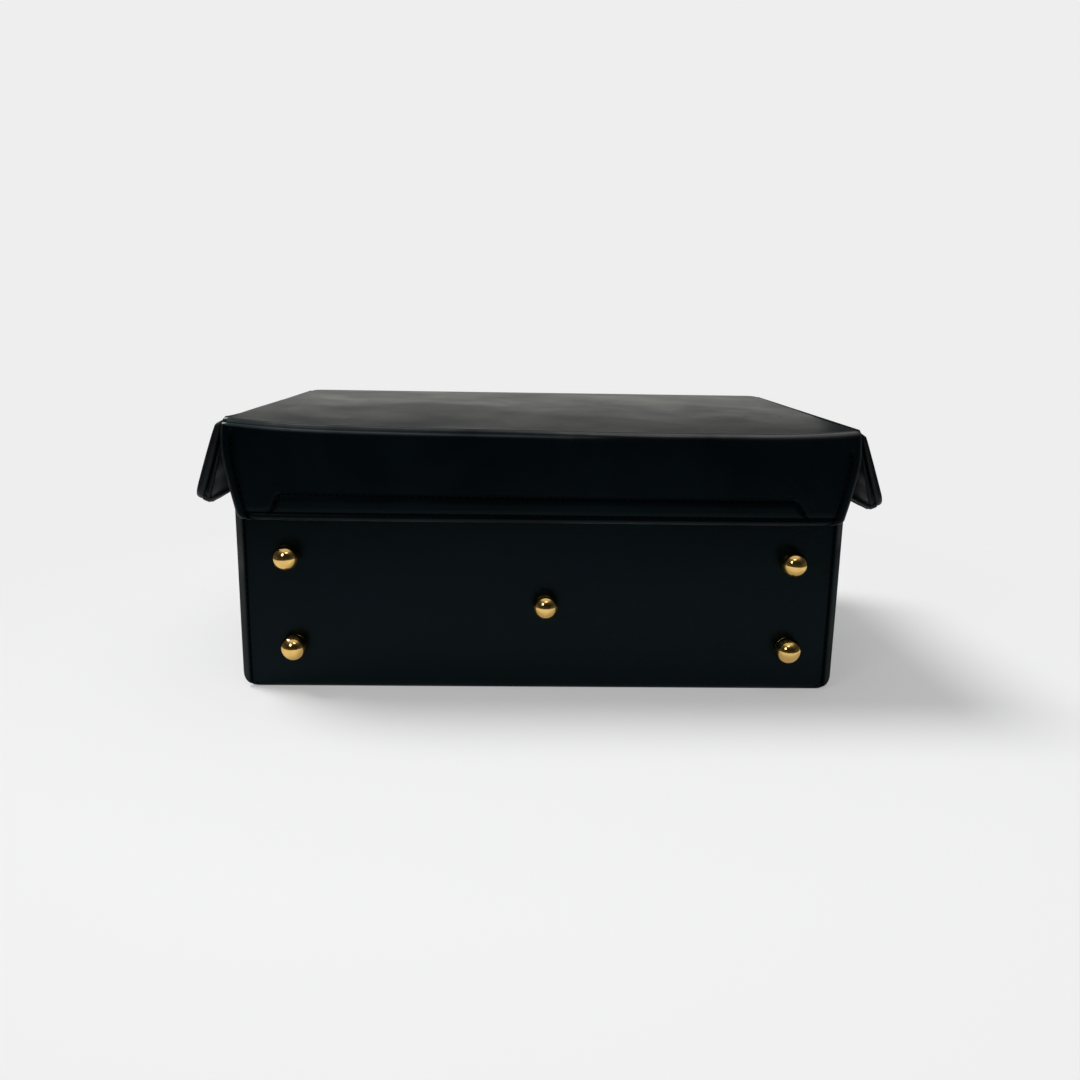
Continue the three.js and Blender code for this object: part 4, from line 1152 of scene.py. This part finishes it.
def build_hinge():
    """The leather hinge: a strip that stands against the back wall and the lid's edge, with a
    groove at the hinge line."""
    sewing = settings().sewing
    seam, bend_half = 3 * MM, 2.5 * MM
    lo, hi = low("hinge_lower_leaf"), high("hinge_upper_leaf")
    heights = spaced(lo[2], hi[2] - 0.3 * MM, 2 * MM, [lo[2] + seam])
    away = np.abs(heights - LID_AXIS[2]) > bend_half + 0.3 * MM
    bend = LID_AXIS[2] + np.linspace(-bend_half, bend_half, 12)
    heights = np.unique(np.concatenate([heights[away], bend]))
    half = high("hinge_lower_leaf")[0] - 0.4 * MM
    columns = both_sides(half, edge_spacing(half, 4 * MM))
    x, z = np.meshgrid(columns, heights, indexing="xy")
    out = groove(z - lo[2] - seam, sewing.groove) + ripple(x, z, 0.07 * MM, 31)
    out = out + groove(z - LID_AXIS[2], 0.35 * MM, 0.9 * MM)
    outer = np.stack([x, hi[1] - 0.2 * MM + out, z], -1)
    inner = np.stack([x, np.full_like(x, lo[1]) + 0.05 * MM, z], -1)
    points, faces, wear = plate(outer, inner, bulge=0.5)
    start = (0, LID_AXIS[1], LID_AXIS[2] - 2.2 * MM)
    end = (0, LID_AXIS[1], LID_AXIS[2] + 2.2 * MM)
    make_piece("hinge_leather", points, faces, finish("side"), "case",
               ["hinge_lower_leaf", "hinge_upper_leaf"], wear * 0.6, None, ("lid", start, end))
    line = outer[closest(heights, lo[2] + seam), 1:-1]
    normal = np.broadcast_to([0.0, 1.0, 0.0], line.shape)
    make_stitches("hinge_stitches", [(line, normal)], "case", 32)


# ------------------------------------------------------------------ wings

def wing_frame(side):
    """The crease point of a wing, the unit direction down the wing, and the unit direction
    in towards the case, as X and Z pairs, for the left (-1) or right (1) wing."""
    name = "left" if side < 0 else "right"
    crease = np.array(joint(f"{name}_wing_crease")["pos_m"])
    node = f"wing_{name}_leather"
    tip_x = low(node)[0] if side < 0 else high(node)[0]
    splay = math.atan2(abs(tip_x) - abs(crease[0]), crease[2] - low(node)[2])
    down = np.array([side * math.sin(splay), -math.cos(splay)])
    inward = np.array([-side * math.cos(splay), -math.sin(splay)])
    return crease[[0, 2]], down, inward


def wing_sheet(side, s0, s1, outer_depth, inner_depth, y0, y1, seed):
    """One leather layer of a wing: s runs down it from s0 to s1 and y along it. Its faces lie
    at the depths that the two functions of s give, its lower corners are round, its edge
    rolls in. At the front, the left wing's top rises a little and the right one's drops."""
    crease, down, inward = wing_frame(side)
    sewing = settings().sewing
    even = s0 + spaced(0, s1 - s0, 2.2 * MM)
    s = np.unique(np.concatenate([
        s0 + edge_spacing(5 * MM, 1 * MM), even[(even > s0 + 6 * MM) & (even < s1 - 7 * MM)],
        s1 - edge_spacing(6 * MM, 1.4 * MM, [sewing.margin])]))
    middle, half = (y0 + y1) / 2, (y1 - y0) / 2
    halves = rounded_foot(s1 - s, half, CORNER_RADIUS)
    columns = both_sides(half, edge_spacing(half, 4 * MM, [sewing.margin]))
    y = fit_columns(halves, columns, 20 * MM) + middle
    s_grid = np.broadcast_to(s[:, None], y.shape)
    edge = np.minimum(halves[:, None] - np.abs(y - middle), s1 - s_grid)
    out = groove(edge - sewing.margin, sewing.groove) + ripple(y, s_grid, 0.10 * MM, seed)
    out = out * smooth((s_grid - 4 * MM) / (3 * MM)) - rolled_edge(edge, 0.5 * MM, 2.4 * MM)
    if side < 0:
        rise = 1.5 * MM * np.exp(-(y - y0) / (22 * MM))
    else:
        rise = -1.3 * MM * np.clip(1 - (y - y0) / (y1 - y0), 0, 1)
    wrap = rise * (1 - smooth(s_grid / (8 * MM)))
    run = down * (s_grid - wrap)[..., None]
    front = crease + run + inward * (outer_depth(s_grid) - out)[..., None]
    back = crease + run + inward * inner_depth(s_grid)[..., None]
    outer = np.stack([front[..., 0], y, front[..., 1]], -1)
    inner = np.stack([back[..., 0], y, back[..., 1]], -1)
    return outer, inner, s, columns, dark_line(edge - sewing.margin) * (s_grid > 6 * MM)


def build_wing(side):
    """A wing: puffed outer layer that wraps up over the lid's edge, thin inner layer, and the
    corner tab with its hem."""
    name = "left" if side < 0 else "right"
    body = f"{name}_wing"
    sewing = settings().sewing
    crease, _, inward = wing_frame(side)
    node = f"wing_{name}_leather"
    y0, y1 = low(node)[1] - 1.5 * MM, high(node)[1]
    wrap_top, inner_top = -1.2 * MM, 9 * MM
    bow = 3.3 * MM if side < 0 else 2.0 * MM

    def outer_depth(s):
        puff = 1 - 0.72 * np.clip(s / WING_DROP, 0, 1) ** 1.5
        return -0.25 * MM - bow * smooth((s + 0.5 * MM) / (4.6 * MM)) * puff

    def middle_depth(s):
        return 0.35 * MM + 0.075 * np.maximum(s, 0)

    def inner_depth(s):
        return 1.95 * MM + 0.112 * s

    outer, inner, s, columns, shadow = wing_sheet(
        side, wrap_top, WING_DROP, outer_depth, middle_depth, y0, y1, 41)
    points, faces, wear = plate(outer, inner, bulge=0.8, steps=9)
    start = (crease[0] - side * 0.3 * MM, 0, crease[1] + 1.2 * MM)
    end = (crease[0] + side * 1.6 * MM, 0, crease[1] - 4.0 * MM)
    make_piece(f"{body}_outer", points, faces, finish("side"), "lid",
               [node, f"wing_{name}_board"], wear * 0.15, shadow, (body, start, end))
    front_seam = closest(columns, sewing.margin - (y1 - y0) / 2)
    seams = (front_seam, len(columns) - 1 - front_seam)
    low_row = closest(s, WING_DROP - sewing.margin)
    normal = np.broadcast_to([-inward[0], 0.0, -inward[1]], outer.shape)
    rows = np.nonzero((s > 7 * MM) & (s < WING_DROP - sewing.margin - 1 * MM))[0]
    along = np.arange(seams[0] + 1, seams[1])
    runs = [(outer[rows, column], normal[rows, column]) for column in seams]
    runs.append((outer[low_row, along], normal[low_row, along]))
    make_stitches(f"{body}_stitches", runs, body, 42 + side)
    outer, inner, s, columns, shadow = wing_sheet(
        side, inner_top, WING_DROP + 0.3 * MM, lambda s: middle_depth(s) + 0.3 * MM, inner_depth,
        y0 + 0.2 * MM, high(f"wing_{name}_inner")[1], 43)
    points, faces, wear = plate(outer, inner, bulge=0.8)
    make_piece(f"{body}_inner", points, faces, finish("side"), body,
               [f"wing_{name}_inner"], wear * 0.1, shadow)
    build_tab(side, name, body)


def build_tab(side, name, body):
    """The corner tab: a small sheet across the end of the wing. Its lower edge rises towards
    the case, and carries a turned and sewn hem."""
    crease, down, inward = wing_frame(side)
    head, hem_width, hem_seam, buckle_start = 9 * MM, 3.6 * MM, 2.0 * MM, 4 * MM
    share = np.concatenate([np.linspace(0, 0.8, 14), np.linspace(0.82, 1, 16)])
    t = spaced(3.2 * MM, 15.8 * MM, 0.5 * MM)
    foot = np.minimum(38.6 * MM - 1.14 * (t - 6.8 * MM), 39.2 * MM)
    s_grid = head + share[:, None] * (foot - head)
    t_grid = np.broadcast_to(t, s_grid.shape)
    flat = crease + down * s_grid[..., None] + inward * t_grid[..., None]
    from_foot = foot - s_grid
    sewn = from_foot - hem_seam
    hem = 0.4 * MM * smooth((hem_width - from_foot) / (0.8 * MM))
    buckle = 0.3 * MM * np.sin(t_grid / (2.2 * MM) + s_grid / (4 * MM)) ** 2
    front = -hem - groove(sewn, 0.3 * MM) - buckle * (from_foot > buckle_start)
    outer = np.stack([flat[..., 0], TAB_FACE + front, flat[..., 1]], -1)
    inner = np.stack([flat[..., 0], np.full_like(front, TAB_FACE + 1.1 * MM), flat[..., 1]], -1)
    points, faces, wear = plate(outer, inner, bulge=0.7)
    # painted highlight: a lighter, shinier wedge beside the wing, growing towards the tab's foot
    rubbed_and_highlight = 0.9 * (1 - smooth((t_grid - 6.4 * MM) / (4.5 * MM)))
    rubbed_and_highlight = rubbed_and_highlight * smooth((s_grid - 16 * MM) / (12 * MM))
    wear[: rubbed_and_highlight.size] = np.maximum(wear[: rubbed_and_highlight.size] * 0.4, rubbed_and_highlight.ravel())
    make_piece(f"{body}_tab", points, faces, finish("side"), body,
               [f"wing_{name}_tab"], wear, dark_line(sewn, 0.8 * MM))
    line = outer[closest(sewn[:, 0], 0), 1:-1]
    normal = np.broadcast_to([0.0, -1.0, 0.0], line.shape)
    make_stitches(f"{body}_tab_stitches", [(line, normal)], body, 47 + side)


# ------------------------------------------------------------------ handle

def grip_path():
    """X and Z along the middle of the handle: down from one socket, round a bend, along, and
    up to the other, at even steps, with the distance walked to each."""
    lo, hi = low("handle_grip"), high("handle_grip")
    section = hi[1] - lo[1]
    half = (hi[0] - lo[0] - section) / 2
    top, foot = hi[2], lo[2] + section / 2
    t = np.linspace(0, 1, 26)[:, None]
    corner, knee = np.array([-half, foot]), np.array([-half + GRIP_CORNER, foot])
    bend = (1 - t) ** 2 * [-half, top] + 2 * t * (1 - t) * corner + t**2 * knee
    flat = np.linspace(knee, [half - GRIP_CORNER, foot], 16)[1:-1]
    rough = np.concatenate([bend, flat, bend[::-1] * [-1, 1]])
    walked = walked_along(rough)
    at = np.linspace(0, walked[-1], 110)
    return resampled(rough, walked, at), at


def build_grip():
    """The grip: a nearly round section carried along the handle's bend. The section has a
    sewn ridge on its inner side, and thickens slightly to the middle."""
    seam_angle, unsewn = 0.42, 3
    path, at = grip_path()
    tangent = np.gradient(path, axis=0)
    tangent = tangent / np.linalg.norm(tangent, axis=1, keepdims=True)
    inward = np.stack([-tangent[:, 1], tangent[:, 0]], -1)
    inward = inward * np.sign(inward[len(at) // 2, 1])
    angle = np.linspace(0, 2 * math.pi, 36, endpoint=False)
    radius = GRIP_RADIUS + 0.4 * MM * np.sin(math.pi * at / at[-1])[:, None]
    ridge = 0.5 * MM * dark_line(np.angle(np.exp(1j * angle)), 0.20)
    section = radius + ridge - 0.15 * MM * np.cos(angle) ** 2
    x = path[:, :1] + inward[:, :1] * section * np.cos(angle)
    z = path[:, 1:] + inward[:, 1:] * section * np.cos(angle)
    y = HANDLE_AXIS[1] + section * np.sin(angle)
    points, faces = capped(np.stack([x, y, z], -1))
    make_piece("handle_grip_leather", points, faces, finish("calf"), "handle",
               ["handle_grip"], np.full(len(points), 0.06))
    runs = []
    for lean in (-seam_angle, seam_angle):
        reach = (radius + 0.02 * MM) * math.cos(lean)
        sewn = path + inward * reach
        line = np.stack([sewn[:, 0], HANDLE_AXIS[1] + radius[:, 0] * math.sin(lean), sewn[:, 1]], -1)
        normal = np.stack([inward[:, 0] * math.cos(lean), np.full(len(path), math.sin(lean)),
                           inward[:, 1] * math.cos(lean)], -1)
        runs.append((line[unsewn:-unsewn], normal[unsewn:-unsewn]))
    make_stitches("handle_grip_stitches", runs, "handle", 51)


def build_eyes():
    """The eyes of the handle: a round-edged barrel on the pin, a stem of rounded rectangular
    section, and a socket turned about Z with a rolled mouth."""
    half_barrel = [[4.0, 1.95], [3.85, 2.3], [3.5, 2.45], [0.5, 2.45]]
    barrel = [[radius, -height] for radius, height in half_barrel[::-1]] + half_barrel
    shoulder = [[0.1, -5.6], [3.4, -5.65], [4.6, -6.0], [5.25, -6.5], [5.5, -7.2], [5.5, -12.3]]
    mouth = [[5.6, -12.45], [5.85, -12.7], [5.95, -13.15], [5.85, -13.6], [5.55, -13.95],
             [4.5, -14.0], [0.1, -14.0]]
    for end in ("left", "right"):
        node = f"handle_eye_{end}"
        centre = ((low(node)[0] + high(node)[0]) / 2, HANDLE_AXIS[1], HANDLE_AXIS[2])
        stem = rounded_ring(2.5 * MM, 2.0 * MM, 0.8 * MM, np.array([-1.5, -4.0, -6.2]) * MM)
        shells = [capped(turned(np.array(barrel) * MM, centre, "X", 48)),
                  capped(turned(np.array(shoulder + mouth) * MM, centre, "Z", 48)),
                  capped(stem + np.array(centre))]
        starts = np.cumsum([0] + [len(points) for points, _ in shells])
        points = np.concatenate([points for points, _ in shells])
        faces = np.concatenate([faces + start for (_, faces), start in zip(shells, starts)])
        make_piece(f"socket_{end}", points, faces, finish("gold"), "handle", [node])


def finish_hardware():
    """Gold on the lugs, pins and rivets, with their corners rounded, and plain steel and
    board on what the walls hide."""
    finishes = {"gold_metal": "gold", "steel": "steel", "board": "board"}
    slots = {part["node"]: part["material_slot"] for part in frame["record"]["subparts"]}
    shown = {node: obj for node, obj in frame["nodes"].items() if not obj.hide_render}
    for node, obj in shown.items():
        obj.data.materials.clear()
        obj.data.materials.append(finish(finishes[slots[node]]))
        if slots[node] != "gold_metal":
            continue
        weld = obj.modifiers.new("weld", "WELD")
        weld.merge_threshold = 0.01 * MM
        bevel = obj.modifiers.new("bevel", "BEVEL")
        bevel.width = 0.35 * MM
        bevel.segments = 3
        bevel.limit_method = "ANGLE"
        bevel.angle_limit = math.radians(40)


# ------------------------------------------------------------------ stage

def build_camera():
    """The camera, low in front of the foot panel: forward from tilt and heading, then rolled."""
    stage = settings().stage
    tilt, heading, roll = stage.tilt, stage.heading, stage.roll
    level = np.array([math.sin(heading), math.cos(heading), 0.0])
    forward = math.cos(tilt) * level - math.sin(tilt) * np.array([0.0, 0.0, 1.0])
    right = np.array([math.cos(heading), -math.sin(heading), 0.0])
    up = np.cross(right, forward)
    rolled_right = math.cos(roll) * right + math.sin(roll) * up
    rolled_up = math.cos(roll) * up - math.sin(roll) * right
    data = bpy.data.cameras.new("case_camera")
    data.lens = stage.lens
    data.sensor_width = 36
    data.clip_start = 0.01
    camera = bpy.data.objects.new("case_camera", data)
    place = np.array([stage.offset, FRONT_Y - stage.distance, stage.height])
    columns = np.stack([rolled_right, rolled_up, -forward, place], -1)
    camera.matrix_world = Matrix([*columns.tolist(), (0, 0, 0, 1)])
    bpy.context.scene.collection.objects.link(camera)
    bpy.context.scene.camera = camera


def add_lamp(name, data, place, back, level):
    """A lamp at a place. Its back faces one direction, and its width lies across another."""
    lamp = bpy.data.objects.new(name, data)
    z = np.array(back, float) / np.linalg.norm(back)
    x = np.cross(level, z)
    x = x / np.linalg.norm(x)
    frame_columns = np.stack([x, np.cross(z, x), z, place], -1)
    lamp.matrix_world = Matrix([*frame_columns.tolist(), (0, 0, 0, 1)])
    bpy.context.scene.collection.objects.link(lamp)
    return lamp


def sun(name, strength, angle, towards):
    """A sun lamp whose light travels towards the given direction."""
    data = bpy.data.lights.new(name, "SUN")
    data.energy = strength
    data.angle = math.radians(angle)
    add_lamp(name, data, (0.0, 0.0, 0.0), -np.array(towards), (0.0, 1.0, 0.001))


def area_light(name, power, size, place, towards, colour=(1, 1, 1)):
    """A rectangular lamp of a width and height at a place, facing a point. The camera
    doesn't see it."""
    data = bpy.data.lights.new(name, "AREA")
    data.energy = power
    data.color = colour
    data.shape = "RECTANGLE"
    data.size, data.size_y = size
    lamp = add_lamp(name, data, place, np.subtract(place, towards), (0.0, 0.0, 1.0))
    lamp.visible_camera = False


def build_floor():
    """A pale glowing table top: a disc that gives back light near the case, and glows with
    the backdrop's own brightness towards its rim."""
    stage = settings().stage
    clear_of_case, lit_radius = 0.02 * MM, 0.30
    radius = np.array([0.001, 0.1, 0.2, lit_radius, FLOOR_RADIUS])
    angle = np.linspace(0, 2 * math.pi, 96, endpoint=False)
    x, y = radius[:, None] * np.cos(angle), radius[:, None] * np.sin(angle)
    rings = np.stack([x, y, np.full_like(x, -clear_of_case)], -1)
    mesh = bpy.data.meshes.new("floor")
    mesh.from_pydata(rings.reshape(-1, 3).tolist(), [],
                     grid_quads(*rings.shape[:2], wrap_columns=True)[:, ::-1].tolist())
    material, tree, shader = blank_material("pale_floor")
    where = put(tree, "ShaderNodeTexCoord").outputs["Object"]
    tooth = noise(tree, where, scale=60)
    pale = [stage.albedo] * 3
    tree.links.new(mixed(tree, tooth, opaque(pale, 0.995), opaque(pale)),
                   shader.inputs["Base Color"])
    distance = put(tree, "ShaderNodeVectorMath", {0: where}, operation="LENGTH").outputs["Value"]
    rim = spread(tree, distance, lit_radius, FLOOR_RADIUS - 0.02, 0.0, 1.0)
    shader.inputs["Roughness"].default_value = 1.0
    shader.inputs["Specular IOR Level"].default_value = 0.0
    shader.inputs["Emission Color"].default_value = (1, 1, 1, 1)
    shader.inputs["Emission Strength"].default_value = stage.paper * stage.glow
    backdrop = put(tree, "ShaderNodeEmission", {"Color": opaque([stage.paper] * 3)})
    mix = put(tree, "ShaderNodeMixShader", {0: rim, 1: shader.outputs[0], 2: backdrop.outputs[0]})
    tree.links.new(mix.outputs[0], tree.nodes["Material Output"].inputs["Surface"])
    mesh.materials.append(material)
    floor = bpy.data.objects.new("floor", mesh)
    bpy.context.scene.collection.objects.link(floor)


def build_world():
    """The surroundings: a dim room, darker in front of the case and brighter overhead, and
    for what the camera sees directly a plain pale backdrop. Each stop is a height, as the Z
    of a direction, and the brightness there."""
    stage = settings().stage
    world = bpy.data.worlds.new("studio")
    bpy.context.scene.world = world
    world.use_nodes = True
    tree = world.node_tree
    tree.nodes.clear()
    direction = put(tree, "ShaderNodeTexCoord").outputs["Generated"]
    split = put(tree, "ShaderNodeSeparateXYZ", {0: direction})
    ramp = put(tree, "ShaderNodeValToRGB", {0: split.outputs["Z"]})
    low_sky, low_blue, high_blue = 0.3, 0.94, 1.03
    stops = [(0.0, 0.095), (0.06, 0.10), (0.15, 0.066), (0.45, 0.04), (0.75, 0.12), (0.92, 0.75)]
    while len(ramp.color_ramp.elements) < len(stops):
        ramp.color_ramp.elements.new(0.5)
    for element, (position, value) in zip(ramp.color_ramp.elements, stops):
        element.position = position
        element.color = (value, value, value * (low_blue if position < low_sky else high_blue), 1)
    ahead = spread(tree, split.outputs["Y"], -0.75, -0.35, 0.4, 1.0)
    room = put(tree, "ShaderNodeBackground", {0: ramp.outputs[0], 1: ahead})
    paper = put(tree, "ShaderNodeBackground", {0: (stage.paper,) * 3 + (1,), 1: 1.0})
    seen = put(tree, "ShaderNodeLightPath").outputs["Is Camera Ray"]
    both = put(tree, "ShaderNodeMixShader", {0: seen, 1: room.outputs[0], 2: paper.outputs[0]})
    put(tree, "ShaderNodeOutputWorld", {0: both.outputs[0]})


# ------------------------------------------------------------------ operators

class BuildBody(bpy.types.Operator):
    """Build the leather of the fixed body: end panels, band, rim and lining."""

    bl_idname = "leather_case.build_body"
    bl_label = "Body"

    def execute(self, context):
        build_end_panel("foot_panel_leather", "front_panel", -1, 1)
        build_end_panel("back_panel_leather", "back_panel", 1, 6)
        build_body_band()
        build_rim()
        build_case_lining()
        return {"FINISHED"}


class BuildFeet(bpy.types.Operator):
    """Build the five ball feet."""

    bl_idname = "leather_case.build_feet"
    bl_label = "Ball feet"

    def execute(self, context):
        build_feet()
        return {"FINISHED"}


class BuildLid(bpy.types.Operator):
    """Build the lid with its front flap, their linings and the leather hinge."""

    bl_idname = "leather_case.build_lid"
    bl_label = "Lid and flap"

    def execute(self, context):
        build_lid()
        build_lid_lining()
        build_flap_lining()
        build_hinge()
        return {"FINISHED"}


class BuildWings(bpy.types.Operator):
    """Build the two side wings with their corner tabs."""

    bl_idname = "leather_case.build_wings"
    bl_label = "Wings"

    def execute(self, context):
        for side in (-1, 1):
            build_wing(side)
        return {"FINISHED"}


class BuildHandle(bpy.types.Operator):
    """Build the handle's leather grip and its two eyes."""

    bl_idname = "leather_case.build_handle"
    bl_label = "Handle"

    def execute(self, context):
        build_grip()
        build_eyes()
        return {"FINISHED"}


class FinishHardware(bpy.types.Operator):
    """Give the carried-over metal and board parts their finishes."""

    bl_idname = "leather_case.finish_hardware"
    bl_label = "Hardware finishes"

    def execute(self, context):
        finish_hardware()
        return {"FINISHED"}


class BuildStage(bpy.types.Operator):
    """Set up the camera, floor and light."""

    bl_idname = "leather_case.build_stage"
    bl_label = "Stage"

    def execute(self, context):
        stage = settings().stage
        build_camera()
        build_floor()
        build_world()
        foot_panel, lid_back = (0, -0.1, 0.05), (0, 0.1, 0.14)
        sun("overhead_soft_light", stage.key, angle=24, towards=(0.62, -0.32, -1.0))
        area_light("window_light", stage.window, (0.16, 0.22), (-0.34, -0.66, 0.50), foot_panel)
        area_light("lamp_light", stage.window / 3, (0.24, 0.07), (0.05, -0.50, 0.66), foot_panel)
        area_light("strip_light", stage.strip, (0.5, 0.07), (0.0, 0.27, 0.174), lid_back,
                   colour=(1, 1, 0.92))
        context.scene.view_settings.view_transform = "Standard"
        return {"FINISHED"}


class LeatherCasePanel(bpy.types.Panel):
    """Lists the settings and the steps that build the case."""

    bl_label = "Leather Case"
    bl_idname = "VIEW3D_PT_leather_case"
    bl_space_type = "VIEW_3D"
    bl_region_type = "UI"
    bl_category = "Leather Case"

    def draw(self, context):
        chosen = context.scene.leather_case
        for group in ("leather", "sewing", "shape", "metal", "stage"):
            box = self.layout.box()
            box.label(text=group.capitalize())
            values = getattr(chosen, group)
            for key in values.__annotations__:
                box.prop(values, key)
        for operator in OPERATORS:
            self.layout.operator(operator.bl_idname)


SETTINGS = (LeatherSettings, SewingSettings, ShapeSettings, MetalSettings, StageSettings,
            CaseSettings)
OPERATORS = (BuildStage, BuildBody, BuildFeet, BuildLid, BuildWings, BuildHandle,
             FinishHardware)


def register():
    """Makes the classes known, and the settings a part of every scene."""
    for kind in (*SETTINGS, *OPERATORS, LeatherCasePanel):
        bpy.utils.register_class(kind)
    bpy.types.Scene.leather_case = bpy.props.PointerProperty(type=CaseSettings)


def unregister():
    """Takes them away again."""
    del bpy.types.Scene.leather_case
    for kind in reversed((*SETTINGS, *OPERATORS, LeatherCasePanel)):
        bpy.utils.unregister_class(kind)


def main():
    """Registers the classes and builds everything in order."""
    register()
    for operator in OPERATORS:
        group, name = operator.bl_idname.split(".")
        getattr(getattr(bpy.ops, group), name)()


if __name__ == "__main__":
    main()
